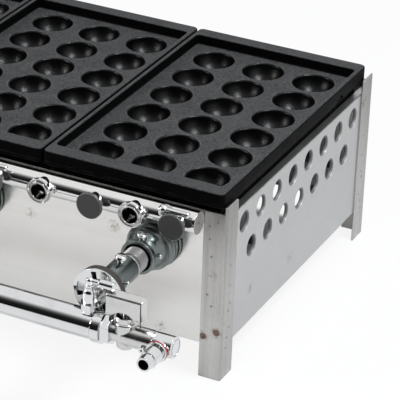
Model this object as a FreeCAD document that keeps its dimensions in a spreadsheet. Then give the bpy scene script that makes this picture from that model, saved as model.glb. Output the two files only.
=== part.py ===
import FreeCAD, Part
import math
import os
import Sketcher

# A three-plate gas takoyaki griddle: cast-iron plates with round pockets in a bent-sheet body,
# with a lighting rail, a gas manifold and one air-mixing burner feed per plate.
# Millimetres, +Z up, the front faces -Y. The origin is under the middle of the bounding box.

DOCUMENT = FreeCAD.newDocument("TakoyakiGriddle")
SHEET = DOCUMENT.addObject("Spreadsheet::Sheet", "Sizes")
UNITS = ("left", "middle", "right")
SIDES = (("left", -1), ("right", 1))
ENDS = (("front", -1), ("back", 1))
CUT_MARGIN = 1                                  # how far a cut runs past the face it opens


class Size:
    """A size known both as a number and as the expression that ties it to the sheet."""

    def __init__(self, number, text):
        self.number = number
        self.text = text

    def joined(self, sign, other, number):
        return Size(number, "(" + self.text + " " + sign + " " + other.text + ")")

    def __add__(self, other):
        other = as_size(other)
        return self.joined("+", other, self.number + other.number)

    def __sub__(self, other):
        other = as_size(other)
        return self.joined("-", other, self.number - other.number)

    def __mul__(self, other):
        other = as_size(other)
        return self.joined("*", other, self.number * other.number)

    def __truediv__(self, other):
        other = as_size(other)
        return self.joined("/", other, self.number / other.number)

    def __radd__(self, other):
        return as_size(other) + self

    def __rsub__(self, other):
        return as_size(other) - self

    def __rmul__(self, other):
        return as_size(other) * self

    def __neg__(self):
        return as_size(0) - self


def as_size(value):
    return value if isinstance(value, Size) else Size(float(value), repr(float(value)))


def cosine(angle):
    return Size(math.cos(math.radians(angle.number)), "cos(" + angle.text + ")")


def sine(angle):
    return Size(math.sin(math.radians(angle.number)), "sin(" + angle.text + ")")


def root(value):
    return Size(math.sqrt(value.number), "sqrt(" + value.text + ")")


def size(alias, value):
    """Writes one driving dimension into the next row of the sheet."""
    size.row += 1
    SHEET.set("A" + str(size.row), alias)
    SHEET.set("B" + str(size.row), str(value))
    SHEET.setAlias("B" + str(size.row), alias)
    return Size(float(value), "Sizes." + alias)


size.row = 0

# ---------------------------------------------------------------- clearances
running_fit = size("running_fit", 0.05)         # radial, pins in their bores
screwed_fit = size("screwed_fit", 0.05)         # radial, screwed or pushed pipe joints
moving_gap = size("moving_gap", 0.3)            # between faces that slide past each other
edge_bevel = size("edge_bevel", 1)              # on the rims of turned fittings

# ---------------------------------------------------------------- body of bent sheet
body_depth = size("body_depth", 340)
side_margin = size("side_margin", 3)            # body's end to the plate's pitch cell
leg_drop = size("leg_drop", 12.2)               # from the plates' top to the back legs' top
leg_lip_gap = size("leg_lip_gap", 6.2)          # from the front legs' top to the plate's lip
leg_front_width = size("leg_front_width", 22.4)
leg_side_width = size("leg_side_width", 24.5)
leg_sheet = size("leg_sheet", 1.5)
leg_bend = size("leg_bend", 1.4)                # outer radius of the bend
leg_corner = size("leg_corner", 3)
panel_sheet = size("panel_sheet", 1.2)
panel_step = size("panel_step", 0.2)            # panel's top below the front legs' top
panel_bottom = size("panel_bottom", 35)
panel_hem = size("panel_hem", 8)
side_sheet = size("side_sheet", 1.5)
side_drop = size("side_drop", 25.9)             # from the plates' top to the side panels' top
side_bottom = size("side_bottom", 32.6)
side_hem = size("side_hem", 6)
vent_diameter = size("vent_diameter", 21)
vent_pitch = size("vent_pitch", 36.27)
vent_dish = size("vent_dish", 0.7)
vent_top_gap = size("vent_top_gap", 19.3)       # from the side panel's top to the upper vents
vent_row_pitch = size("vent_row_pitch", 33)
UPPER_VENT_COUNT = 8
LOWER_VENT_COUNT = 7
ledge_width = size("ledge_width", 22)
ledge_drop = size("ledge_drop", 12)
ledge_sheet = size("ledge_sheet", 2)

# ---------------------------------------------------------------- cooking plates
plate_width = size("plate_width", 185.5)
plate_back_gap = size("plate_back_gap", 10)     # plate's end to the body's back
plate_gap = size("plate_gap", 1.5)
plate_overhang = size("plate_overhang", 0.8)    # lip past the body's front
plate_top = size("plate_top", 192.7)
skirt_drop = size("skirt_drop", 34.7)           # from the plates' top to the skirt's underside
plate_corner = size("plate_corner", 5.5)
lip_height = size("lip_height", 13.7)
lip_rounding = size("lip_rounding", 2.2)
rim_rounding = size("rim_rounding", 1.2)
side_rim = size("side_rim", 5)
end_rim = size("end_rim", 17)
cavity_depth = size("cavity_depth", 10.7)
cavity_corner = size("cavity_corner", 4)
cavity_fillet = size("cavity_fillet", 2.5)
floor_thickness = size("floor_thickness", 6)
skirt_inset = size("skirt_inset", 7)
skirt_wall = size("skirt_wall", 5)
notch_radius = size("notch_radius", 11)
notch_rise = size("notch_rise", 6)
notch_depth = size("notch_depth", 3)
notch_setback = size("notch_setback", 264.8)
pocket_radius = size("pocket_radius", 20.3)
pocket_side_gap = size("pocket_side_gap", 12.45)    # from the side rim to the pockets
pocket_end_gap = size("pocket_end_gap", 8.35)       # from the end rim to the pockets
boss_wall = size("boss_wall", 4.7)              # iron under the pocket's lowest point
boss_top_radius = size("boss_top_radius", 23.5)
boss_tip_radius = size("boss_tip_radius", 12)
POCKET_COLUMNS = 3
POCKET_ROWS = 6

# ---------------------------------------------------------------- lighting rail
rail_diameter = size("rail_diameter", 21.7)
rail_wall = size("rail_wall", 2.5)
rail_drop = size("rail_drop", 27.2)             # from the plates' top to the rail's axis
rail_seat_gap = size("rail_seat_gap", 0.15)
rail_right_inset = size("rail_right_inset", 22)
rail_left_inset = size("rail_left_inset", 3)
port_reach = size("port_reach", 18)             # rail's axis to the collar's face
port_neck_radius = size("port_neck_radius", 9.6)
port_collar_radius = size("port_collar_radius", 12.4)
port_collar_length = size("port_collar_length", 3.5)
port_flare = size("port_flare", 2.5)
port_flare_hollow = size("port_flare_hollow", 0.5)
port_mouth_radius = size("port_mouth_radius", 8)
port_ring_width = size("port_ring_width", 1.5)
port_ring_rise = size("port_ring_rise", 0.6)
port_groove = size("port_groove", 1.1)
port_open_first = size("port_open_first", -80.2)    # from the plate's middle
port_open_second = size("port_open_second", 14)
port_shut_first = size("port_shut_first", -26.6)
port_shut_second = size("port_shut_second", 56.5)
stub_radius = size("stub_radius", 8.5)
stub_bore_radius = size("stub_bore_radius", 7)
cap_radius = size("cap_radius", 12.9)
cap_thickness = size("cap_thickness", 2.7)
cap_edge = size("cap_edge", 0.6)
cap_spigot_length = size("cap_spigot_length", 7)

# ---------------------------------------------------------------- pilot cocks on the rail
pilot_tilt = size("pilot_tilt", 42.5)           # above the horizontal
pilot_offset = size("pilot_offset", 45)         # from the plate's middle
pilot_boss_radius = size("pilot_boss_radius", 6.5)
pilot_boss_reach = size("pilot_boss_reach", 12.4)
pilot_spigot_radius = size("pilot_spigot_radius", 3)
pilot_collar_radius = size("pilot_collar_radius", 5)
pilot_collar_height = size("pilot_collar_height", 1.9)
pilot_stem_radius = size("pilot_stem_radius", 1.5)
pilot_stem_length = size("pilot_stem_length", 4)
pilot_floor = size("pilot_floor", 1)             # under and beyond the stem's tip
pilot_hub_radius = size("pilot_hub_radius", 4.4)
pilot_hub_height = size("pilot_hub_height", 4.6)
pilot_dome_rise = size("pilot_dome_rise", 2.8)
pilot_rod_radius = size("pilot_rod_radius", 2.8)
pilot_rod_height = size("pilot_rod_height", 3.1)    # rod's axis above the hub's base
pilot_rod_length = size("pilot_rod_length", 26.5)

# ---------------------------------------------------------------- feed line of each burner
feed_offset = size("feed_offset", 27.5)         # from the plate's middle
feed_drop = size("feed_drop", 62.2)             # from the plates' top to the feed line's axis
feed_pipe_radius = size("feed_pipe_radius", 11.5)
feed_pipe_wall = size("feed_pipe_wall", 3)
feed_pipe_back = size("feed_pipe_back", 26)
feed_pipe_front = size("feed_pipe_front", 69)
feed_hole_gap = size("feed_hole_gap", 1)
plate_disc_radius = size("plate_disc_radius", 25)
plate_disc_thickness = size("plate_disc_thickness", 3)
nut_disc_radius = size("nut_disc_radius", 24)
nut_disc_back = size("nut_disc_back", 4)
nut_disc_thickness = size("nut_disc_thickness", 4)
bell_back = size("bell_back", 9)
bell_shoulder_radius = size("bell_shoulder_radius", 23.5)
bell_shoulder_length = size("bell_shoulder_length", 5)
bell_body_radius = size("bell_body_radius", 21)
bell_bulge = size("bell_bulge", 1.4)             # of the dome past a straight cone
bell_length = size("bell_length", 31.8)
bell_lip_radius = size("bell_lip_radius", 15.7)
bell_lip_length = size("bell_lip_length", 2)
bell_lip_bore = size("bell_lip_bore", 12.5)
lock_ring_back = size("lock_ring_back", 57)
lock_ring_radius = size("lock_ring_radius", 13)
lock_ring_length = size("lock_ring_length", 3)
socket_radius = size("socket_radius", 13)
socket_end = size("socket_end", 108.5)
socket_throat_radius = size("socket_throat_radius", 9)
socket_chamfer = size("socket_chamfer", 1)
drum_back = size("drum_back", 104.5)
drum_front = size("drum_front", 112)
drum_radius = size("drum_radius", 23.3)
drum_wall = size("drum_wall", 2)
window_inner_radius = size("window_inner_radius", 13)
window_outer_radius = size("window_outer_radius", 21)
window_half_angle = size("window_half_angle", 20)
window_lap = size("window_lap", 28)              # drum's windows turned from the shutter's
WINDOW_COUNT = 4
shutter_radius = size("shutter_radius", 23.9)
shutter_thickness = size("shutter_thickness", 1.2)
injector_radius = size("injector_radius", 7)
injector_back = size("injector_back", 106)
injector_hub_radius = size("injector_hub_radius", 10.3)
injector_hub_length = size("injector_hub_length", 4.2)
injector_neck_radius = size("injector_neck_radius", 6)
injector_bore_radius = size("injector_bore_radius", 2)

# ---------------------------------------------------------------- manifold and its cocks
manifold_reach = size("manifold_reach", 128)    # axis ahead of the body's front
manifold_drop = size("manifold_drop", 22.8)     # from the feed line's axis to the manifold's
manifold_radius = size("manifold_radius", 13.2)
manifold_wall = size("manifold_wall", 2.8)
manifold_left_end = size("manifold_left_end", 36)   # past the left cock
manifold_right_end = size("manifold_right_end", 10.5)  # past the right cock
manifold_boss_radius = size("manifold_boss_radius", 6)
manifold_boss_height = size("manifold_boss_height", 15.3)
end_cap_radius = size("end_cap_radius", 15)
end_cap_grip = size("end_cap_grip", 8)
end_cap_wall = size("end_cap_wall", 4)
cock_spigot_radius = size("cock_spigot_radius", 4.2)
cock_spigot_length = size("cock_spigot_length", 9)
cock_hex_flats = size("cock_hex_flats", 15)
cock_hex_height = size("cock_hex_height", 6.5)
cock_radius = size("cock_radius", 6)
cock_shoulder_height = size("cock_shoulder_height", 30.7)
cock_top_height = size("cock_top_height", 37.3)
cock_top_radius = size("cock_top_radius", 4.6)
cock_branch_radius = size("cock_branch_radius", 5.8)
cock_branch_reach = size("cock_branch_reach", 8)
stem_space = size("stem_space", 1)               # below the stems of cocks and valve
lever_stem_radius = size("lever_stem_radius", 3)
lever_stem_length = size("lever_stem_length", 6)
lever_collar_radius = size("lever_collar_radius", 4.4)
lever_height = size("lever_height", 5.6)        # arm's axis above the cock's top
lever_dome_radius = size("lever_dome_radius", 3.5)
lever_neck_radius = size("lever_neck_radius", 2.2)
lever_neck_length = size("lever_neck_length", 9)
lever_barrel_radius = size("lever_barrel_radius", 4)
lever_grip_bevel = size("lever_grip_bevel", 1.5)
lever_length = size("lever_length", 25)

# ---------------------------------------------------------------- main valve and hose end
collar_radius = size("collar_radius", 14.5)
collar_length = size("collar_length", 9.2)
collar_grip = size("collar_grip", 4.2)
union_flats = size("union_flats", 24.5)
union_length = size("union_length", 9)
union_gap = size("union_gap", 1.2)              # from the union to the valve's barrel
valve_radius = size("valve_radius", 10.3)
valve_foot_radius = size("valve_foot_radius", 8.2)
valve_drop = size("valve_drop", 12.6)
valve_rise = size("valve_rise", 13.5)
valve_rounding = size("valve_rounding", 2)
valve_port_radius = size("valve_port_radius", 9)
valve_bore_radius = size("valve_bore_radius", 6)
valve_outlet_radius = size("valve_outlet_radius", 10.3)
valve_outlet_reach = size("valve_outlet_reach", 28)
valve_top_radius = size("valve_top_radius", 8.8)
valve_top_height = size("valve_top_height", 5)
valve_stem_radius = size("valve_stem_radius", 3)
valve_stem_length = size("valve_stem_length", 10)
handle_length = size("handle_length", 37)
handle_width = size("handle_width", 12)
handle_lever_gap = size("handle_lever_gap", 0.6)    # from the handle up to the cock's lever
handle_base = size("handle_base", 19.5)         # underside above the manifold's axis
handle_corner = size("handle_corner", 3)
handle_wall = size("handle_wall", 2.5)
handle_notch_width = size("handle_notch_width", 20)
handle_notch_height = size("handle_notch_height", 4)
handle_hub_radius = size("handle_hub_radius", 3.4)
elbow_radius = size("elbow_radius", 10.2)
elbow_length = size("elbow_length", 20.5)       # from the valve's outlet to the plug's face
elbow_axis_inset = size("elbow_axis_inset", 11.5) # branch's axis from the plug's face
elbow_branch_radius = size("elbow_branch_radius", 7.7)
elbow_branch_reach = size("elbow_branch_reach", 12)
elbow_plug_radius = size("elbow_plug_radius", 7)
elbow_plug_groove = size("elbow_plug_groove", 1.1)
hose_end_length = size("hose_end_length", 26.5)
hose_shoulder_radius = size("hose_shoulder_radius", 9.6)
hose_shoulder_length = size("hose_shoulder_length", 3.5)
hose_neck_radius = size("hose_neck_radius", 7.25)
hose_neck_length = size("hose_neck_length", 3)
hose_barrel_radius = size("hose_barrel_radius", 8)
hose_barrel_length = size("hose_barrel_length", 12)
hose_tip_radius = size("hose_tip_radius", 6.6)
hose_bore_radius = size("hose_bore_radius", 5)
test_place = size("test_place", 22)             # test nipple right of the valve's axis
test_drop = size("test_drop", 3.7)
test_boss_radius = size("test_boss_radius", 4)
test_boss_step = size("test_boss_step", 0.1)    # boss's face past the valve's outlet
test_hex_flats = size("test_hex_flats", 6.8)
test_hex_length = size("test_hex_length", 1.2)
test_radius = size("test_radius", 2.9)
test_length = size("test_length", 1.8)
test_bore_radius = size("test_bore_radius", 1.2)

# ---------------------------------------------------------------- burners
burner_inlet_radius = size("burner_inlet_radius", 15)
burner_inlet_back = size("burner_inlet_back", 6)    # inlet's mouth behind the body's front
burner_socket_depth = size("burner_socket_depth", 22)
burner_header = size("burner_header", 42)       # header's axis behind the body's front
burner_radius = size("burner_radius", 12.5)
burner_end = size("burner_end", 292)
burner_port_radius = size("burner_port_radius", 2)
burner_port_depth = size("burner_port_depth", 5)
bar_height = size("bar_height", 12)
bar_thickness = size("bar_thickness", 3)
bar_front = size("bar_front", 78)
bar_back = size("bar_back", 262)
bar_gap = size("bar_gap", 0.1)

# ---------------------------------------------------------------- places worked out from the sizes
unit_pitch = plate_width + plate_gap
body_width = unit_pitch * len(UNITS) + side_margin * 2
leg_height = plate_top - leg_drop
leg_front_height = plate_top - lip_height - leg_lip_gap
panel_top = leg_front_height - panel_step
side_top = plate_top - side_drop
vent_upper_height = side_top - vent_top_gap
vent_lower_height = vent_upper_height - vent_row_pitch
plate_seat = plate_top - skirt_drop             # underside of the skirt, top of the ledges
rail_height = plate_top - rail_drop
feed_height = plate_top - feed_drop
manifold_height = feed_height - manifold_drop
plate_length = body_depth + plate_overhang - plate_back_gap
plate_field_x = plate_width - (side_rim + pocket_radius + pocket_side_gap) * 2
plate_field_y = plate_length - (end_rim + pocket_radius + pocket_end_gap) * 2
pocket_pitch_x = plate_field_x / (POCKET_COLUMNS - 1)
pocket_pitch_y = plate_field_y / (POCKET_ROWS - 1)
union_right = feed_offset + manifold_right_end + collar_length - collar_grip + union_length
valve_inset = unit_pitch / 2 + side_margin - union_right - union_gap - valve_radius
elbow_overhang = valve_outlet_reach - valve_inset + elbow_length
test_boss_reach = valve_outlet_radius + test_boss_step
lever_underside = cock_top_height + lever_height - lever_barrel_radius
handle_height = lever_underside - handle_lever_gap - handle_base
hose_reach = manifold_reach + elbow_branch_reach + hose_end_length
right_x = (body_width - elbow_overhang) / 2
left_x = right_x - body_width
front_y = (hose_reach - body_depth) / 2
back_y = front_y + body_depth
middle_x = right_x - body_width / 2
middle_y = front_y + body_depth / 2
plate_y = front_y - plate_overhang + plate_length / 2
rail_y = front_y - rail_diameter / 2 - rail_seat_gap
manifold_y = front_y - manifold_reach
valve_x = right_x - valve_inset
panel_back = leg_sheet + panel_sheet            # panel's inner face behind the body's end
side_inner = leg_sheet + side_sheet             # side panel's inner face inside the body's end
floor_bottom = cavity_depth + floor_thickness


def unit_x(unit):
    """The middle of one cooking plate."""
    return middle_x + unit_pitch * (unit - (len(UNITS) - 1) / 2)


manifold_end = unit_x(len(UNITS) - 1) + feed_offset + manifold_right_end    # its right end

# ---------------------------------------------------------------- modelling helpers
def bind(thing, name, value):
    thing.setExpression(name, as_size(value).text)


def new_body(label):
    body = DOCUMENT.addObject("PartDesign::Body", label)
    body.Label = label
    return body


def put(body, x, y, z, axis=FreeCAD.Vector(0, 0, 1), angle=0):
    """Places a body, its position and its turn tied to the sheet."""
    body.Placement = FreeCAD.Placement(FreeCAD.Vector(), FreeCAD.Rotation(axis, as_size(angle).number))
    bind(body, "Placement.Base.x", x)
    bind(body, "Placement.Base.y", y)
    bind(body, "Placement.Base.z", z)
    if isinstance(angle, Size):
        bind(body, "Placement.Rotation.Angle", angle)
    return body


def put_forward(body, x, y, z):
    """Places a turned body so that its own Z points out of the front, along -Y."""
    return put(body, x, y, z, FreeCAD.Vector(1, 0, 0), 90)


def origin_feature(body, role):
    return [feature for feature in body.Origin.OriginFeatures if feature.Role == role][0]


def new_sketch(body, plane, shift=(0, 0, 0)):
    """A sketch on an origin plane, shifted in its own right, up and outward directions."""
    sketch = body.newObject("Sketcher::SketchObject", body.Label + "_sketch")
    sketch.AttachmentSupport = (origin_feature(body, plane), [""])
    sketch.MapMode = "FlatFace"
    for letter, value in zip("xyz", shift):
        bind(sketch, "AttachmentOffset.Base." + letter, value)
    return sketch


def constrain(sketch, kind, where, value):
    value = as_size(value)
    index = sketch.addConstraint(Sketcher.Constraint(kind, *where, value.number))
    bind(sketch, "Constraints[" + str(index) + "]", value)


def locate(sketch, geometry, point, place):
    constrain(sketch, "DistanceX", (-1, 1, geometry, point), place[0])
    constrain(sketch, "DistanceY", (-1, 1, geometry, point), place[1])


def as_vector(place):
    return FreeCAD.Vector(as_size(place[0]).number, as_size(place[1]).number, 0)


def arc_through(start, middle, stop, forward):
    """An arc through three points; sketches hold arcs anticlockwise only."""
    through = Part.Circle(start, middle, stop)
    first, last = (start, stop) if forward else (stop, start)
    angles = [math.atan2((end - through.Center).y, (end - through.Center).x) for end in (first, last)]
    circle = Part.Circle(through.Center, FreeCAD.Vector(0, 0, 1), through.Radius)
    return Part.ArcOfCircle(circle, angles[0], angles[1])


def draw_outline(sketch, points):
    """Draws a closed outline; a point with a third item lies on the arc between its neighbours."""
    corners = [point for point in points if len(point) == 2]
    middles = {}
    count = 0
    for point in points:
        if len(point) == 2:
            count += 1
        else:
            middles[count - 1] = point
    ends = []
    for index, corner in enumerate(corners):
        start = as_vector(corner)
        stop = as_vector(corners[(index + 1) % len(corners)])
        if index in middles:
            middle = as_vector(middles[index])
            forward = (middle - start).cross(stop - middle).z > 0
            geometry = sketch.addGeometry(arc_through(start, middle, stop, forward), False)
            ends.append((geometry, 1, 2) if forward else (geometry, 2, 1))
        else:
            ends.append((sketch.addGeometry(Part.LineSegment(start, stop), False), 1, 2))
    for index, end in enumerate(ends):
        following = ends[(index + 1) % len(ends)]
        sketch.addConstraint(Sketcher.Constraint("Coincident", end[0], end[2], following[0], following[1]))
    for end, corner in zip(ends, corners):
        locate(sketch, end[0], end[1], corner)
    for index, middle in middles.items():
        geometry = sketch.addGeometry(Part.Point(as_vector(middle)), True)
        locate(sketch, geometry, 1, middle)
        sketch.addConstraint(Sketcher.Constraint("PointOnObject", geometry, 1, ends[index][0]))


def draw_circle(sketch, place, radius):
    geometry = sketch.addGeometry(Part.Circle(as_vector(place), FreeCAD.Vector(0, 0, 1), as_size(radius).number))
    locate(sketch, geometry, 3, place)
    constrain(sketch, "Radius", (geometry,), radius)


def rectangle(left, bottom, right, top):
    return [(left, bottom), (right, bottom), (right, top), (left, top)]


def rounded_rectangle(half_width, half_height, radius):
    """The outline of a rectangle about the origin with rounded corners."""
    inset = radius * (1 - math.sqrt(0.5))
    points = []
    for across, up in ((1, 1), (-1, 1), (-1, -1), (1, -1)):
        upright = ((half_width) * across, (half_height - radius) * up)
        level = ((half_width - radius) * across, half_height * up)
        middle = ((half_width - inset) * across, (half_height - inset) * up, "arc")
        points += [upright, middle, level] if across == up else [level, middle, upright]
    return points


def hexagon(flats):
    """The outline of a hexagon about the origin, by its width across flats."""
    radius = flats / math.sqrt(3)
    corners = [math.radians(60 * step) for step in range(6)]
    return [(radius * math.cos(corner), radius * math.sin(corner)) for corner in corners]


def ring_sector(inner, outer, middle, half_angle):
    """A window between two radii, its middle turned up from the sketch's horizontal axis."""
    first = middle + half_angle
    last = middle - half_angle
    return [
        (inner * cosine(first), inner * sine(first)),
        (outer * cosine(first), outer * sine(first)),
        (outer * cosine(middle), outer * sine(middle), "arc"),
        (outer * cosine(last), outer * sine(last)),
        (inner * cosine(last), inner * sine(last)),
        (inner * cosine(middle), inner * sine(middle), "arc"),
    ]


def dome(radius, base, rise, up=1):
    """The round end of a turned outline, from its rim over a true arc to its tip on the axis."""
    sphere = (radius * radius + rise * rise) / (rise * 2)
    share = rise / (sphere * 2)
    middle = rise - sphere * (1 - root(1 - share))
    return [(radius, base), (sphere * root(share), base + middle * up, "arc"), (0, base + rise * up)]


def sideways(points):
    """An outline of radii and heights as one of lengths along an axis and radii."""
    return [(point[1], point[0]) + tuple(point[2:]) for point in points]


def volume_of(body):
    DOCUMENT.recompute()
    return 0 if body.Shape.isNull() else body.Shape.Volume


def must_cut(body, before):
    """A cut that points away from the solid leaves the volume as it was."""
    if volume_of(body) > before - 1e-3:
        raise ValueError(body.Label + ": a cut takes nothing away")


def pad(body, sketch, length, backward=False):
    feature = body.newObject("PartDesign::Pad", body.Label + "_pad")
    feature.Profile = sketch
    feature.Reversed = backward
    bind(feature, "Length", length)
    return feature


def pocket(body, sketch, length, backward=False):
    """Cuts a sketch away, against its plane's normal unless it runs backward."""
    before = volume_of(body)
    feature = body.newObject("PartDesign::Pocket", body.Label + "_pocket")
    feature.Profile = sketch
    feature.Reversed = backward
    bind(feature, "Length", length)
    must_cut(body, before)
    return feature


def revolve(body, plane, axis, points, shift=(0, 0, 0), cut=False):
    """Turns an outline about its sketch's own horizontal or vertical axis."""
    before = volume_of(body)
    sketch = new_sketch(body, plane, shift)
    draw_outline(sketch, points)
    kind = "Groove" if cut else "Revolution"
    feature = body.newObject("PartDesign::" + kind, body.Label + "_" + kind.lower())
    feature.Profile = sketch
    feature.ReferenceAxis = (sketch, [axis])
    feature.Angle = 360
    if cut:
        must_cut(body, before)
    return feature


def repeat(body, feature, spacing, count, axis="X_Axis"):
    """Repeats a feature along one of the body's own axes."""
    pattern = body.newObject("PartDesign::LinearPattern", body.Label + "_row")
    pattern.Originals = [feature]
    pattern.Direction = (origin_feature(body, axis), [""])
    pattern.Mode = "Spacing"
    bind(pattern, "Offset", spacing)
    pattern.Occurrences = count
    body.Tip = pattern
    return pattern


def repeat_round(body, feature, count):
    pattern = body.newObject("PartDesign::PolarPattern", body.Label + "_ring")
    pattern.Originals = [feature]
    pattern.Axis = (origin_feature(body, "Z_Axis"), [""])
    pattern.Angle = 360
    pattern.Occurrences = count
    body.Tip = pattern
    return pattern


def dress(body, kind, name, amount, chosen):
    """Fillets or chamfers those edges of the body that a test chooses."""
    DOCUMENT.recompute()
    base = body.Tip
    names = ["Edge" + str(index + 1) for index, edge in enumerate(base.Shape.Edges) if chosen(edge)]
    feature = body.newObject("PartDesign::" + kind, body.Label + "_" + kind.lower())
    feature.Base = (base, names)
    bind(feature, name, amount)
    return feature


def fillet(body, radius, chosen):
    return dress(body, "Fillet", "Radius", radius, chosen)


def chamfer(body, amount, chosen):
    return dress(body, "Chamfer", "Size", amount, chosen)


def lies_at(edge, axis, place):
    """Whether a whole edge lies at one coordinate along an axis."""
    low = getattr(edge.BoundBox, axis + "Min")
    high = getattr(edge.BoundBox, axis + "Max")
    place = as_size(place).number
    return abs(low - place) < 1e-3 and abs(high - place) < 1e-3


def turned(label, points):
    """A body turned about its own Z from an outline of radii and heights."""
    body = new_body(label)
    revolve(body, "XZ_Plane", "V_Axis", points)
    return body


def tube_outline(bore, radius, back, front):
    return rectangle(bore, back, radius, front)


# ---------------------------------------------------------------- body of bent sheet
def leg(label, side, end):
    """A corner leg: one sheet bent round the corner, its side flange the taller one."""
    body = new_body(label)
    face = new_sketch(body, "XZ_Plane")
    draw_outline(face, rectangle(0, 0, -leg_front_width * side, leg_front_height))
    pad(body, face, leg_sheet, backward=end < 0)
    flank = new_sketch(body, "YZ_Plane")
    far = -leg_side_width * end
    inner = far + leg_corner * end
    bulge = leg_corner * (1 - math.sqrt(0.5))
    draw_outline(flank, [
        (0, 0),
        (far, 0),
        (far, leg_height - leg_corner),
        (far + bulge * end, leg_height - bulge, "arc"),
        (inner, leg_height),
        (0, leg_height),
    ])
    pad(body, flank, leg_sheet, backward=side > 0)
    fillet(body, leg_bend, lambda edge: lies_at(edge, "X", 0) and lies_at(edge, "Y", 0))
    return put(body, right_x if side > 0 else left_x, front_y if end < 0 else back_y, 0)


def end_panel(label, end):
    """The front or back panel, with its lower edge folded in and, in front, a hole per feed pipe."""
    body = new_body(label)
    half = body_width / 2 - leg_sheet
    face = new_sketch(body, "XZ_Plane", (0, 0, leg_sheet * end))
    draw_outline(face, rectangle(-half, panel_bottom, half, panel_top))
    pad(body, face, panel_sheet, backward=end < 0)
    hem = new_sketch(body, "XZ_Plane", (0, 0, panel_back * end))
    hem_half = body_width / 2 - side_inner
    draw_outline(hem, rectangle(-hem_half, panel_bottom, hem_half, panel_bottom + panel_sheet))
    pad(body, hem, panel_hem, backward=end < 0)
    if end < 0:
        hole = new_sketch(body, "XZ_Plane")
        draw_circle(hole, (feed_offset - unit_pitch, feed_height), feed_pipe_radius + feed_hole_gap)
        repeat(body, pocket(body, hole, panel_back * 2), unit_pitch, len(UNITS))
    return put(body, middle_x, front_y if end < 0 else back_y, 0)


def side_panel(label, side):
    """A side panel with two hems and two staggered rows of dished vents."""
    body = new_body(label)
    half = body_depth / 2 - panel_back
    face = new_sketch(body, "YZ_Plane", (0, 0, -leg_sheet * side))
    draw_outline(face, rectangle(-half, side_bottom, half, side_top))
    pad(body, face, side_sheet, backward=side > 0)
    for bottom in (side_bottom, side_top - side_sheet):
        hem = new_sketch(body, "YZ_Plane", (0, 0, -side_inner * side))
        draw_outline(hem, rectangle(-half, bottom, half, bottom + side_sheet))
        pad(body, hem, side_hem, backward=side > 0)
    for count, height in ((UPPER_VENT_COUNT, vent_upper_height), (LOWER_VENT_COUNT, vent_lower_height)):
        hole = new_sketch(body, "YZ_Plane")
        draw_circle(hole, (-vent_pitch * (count - 1) / 2, height), vent_diameter / 2)
        row = pocket(body, hole, side_inner * 2, backward=side < 0)
        repeat(body, row, vent_pitch, count, "Y_Axis")
    outer = -leg_sheet * side
    chamfer(body, vent_dish, lambda edge: lies_at(edge, "X", outer) and isinstance(edge.Curve, Part.Circle))
    return put(body, right_x if side > 0 else left_x, middle_y, 0)


def plate_ledge(label, end):
    """The angle inside the front or back panel on which the plates' skirts sit."""
    body = new_body(label)
    profile = new_sketch(body, "YZ_Plane")
    wall = ledge_sheet
    corners = [
        (0, 0),
        (ledge_width, 0),
        (ledge_width, -wall),
        (wall, -wall),
        (wall, -ledge_drop),
        (0, -ledge_drop),
    ]
    draw_outline(profile, [(across * -end, up) for across, up in corners])
    pad(body, profile, body_width - side_inner * 2)
    y = front_y + panel_back if end < 0 else back_y - panel_back
    return put(body, left_x + side_inner, y, plate_seat)


# ---------------------------------------------------------------- cooking plates
def cooking_plate(label, unit):
    """A cast plate: a raised rim, a sunken floor, round pockets and cone bosses under them."""
    body = new_body(label)
    half_width = plate_width / 2
    half_length = plate_length / 2
    foot = plate_top - plate_seat
    lip = new_sketch(body, "XY_Plane", (0, 0, -lip_height))
    draw_outline(lip, rounded_rectangle(half_width, half_length, plate_corner))
    pad(body, lip, lip_height)
    skirt = new_sketch(body, "XY_Plane", (0, 0, -foot))
    draw_outline(skirt, rounded_rectangle(half_width - skirt_inset, half_length - skirt_inset, plate_corner))
    pad(body, skirt, foot - lip_height)
    cavity = new_sketch(body, "XY_Plane")
    draw_outline(cavity, rounded_rectangle(half_width - side_rim, half_length - end_rim, cavity_corner))
    pocket(body, cavity, cavity_depth)
    hollow = new_sketch(body, "XY_Plane", (0, 0, -foot))
    hollow_inset = skirt_inset + skirt_wall
    draw_outline(hollow, rounded_rectangle(half_width - hollow_inset, half_length - hollow_inset, plate_corner))
    pocket(body, hollow, foot - floor_bottom, backward=True)
    lip_notch(body, half_width, half_length)
    plate_roundings(body)
    pocket_grid(body)
    return put(body, unit_x(unit), plate_y, plate_top)


def lip_notch(body, half_width, half_length):
    """A low arch in the lower edge of the right lip."""
    notch = new_sketch(body, "YZ_Plane", (0, 0, half_width + CUT_MARGIN))
    middle = notch_setback - half_length - plate_overhang
    draw_outline(notch, [
        (middle - notch_radius, -lip_height - CUT_MARGIN),
        (middle - notch_radius, -lip_height),
        (middle, -lip_height + notch_rise, "arc"),
        (middle + notch_radius, -lip_height),
        (middle + notch_radius, -lip_height - CUT_MARGIN),
    ])
    pocket(body, notch, notch_depth + CUT_MARGIN)


def plate_roundings(body):
    """Rounds the rim's outer and inner edges and the floor's edge."""
    fillet(body, lip_rounding, lambda edge: lies_at(edge, "Z", 0) and on_outer_edge(edge))
    fillet(body, rim_rounding, lambda edge: lies_at(edge, "Z", 0) and not on_outer_edge(edge))
    fillet(body, cavity_fillet, lambda edge: lies_at(edge, "Z", -cavity_depth))


def on_outer_edge(edge):
    """Whether an edge of the top face lies nearer the plate's outline than the cavity's."""
    across = edge.BoundBox.Center.x / (plate_width.number / 2)
    along = edge.BoundBox.Center.y / (plate_length.number / 2)
    inner_across = 1 - (side_rim + lip_rounding).number / plate_width.number
    inner_along = 1 - (end_rim + lip_rounding).number / plate_length.number
    return abs(across) > inner_across or abs(along) > inner_along


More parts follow.
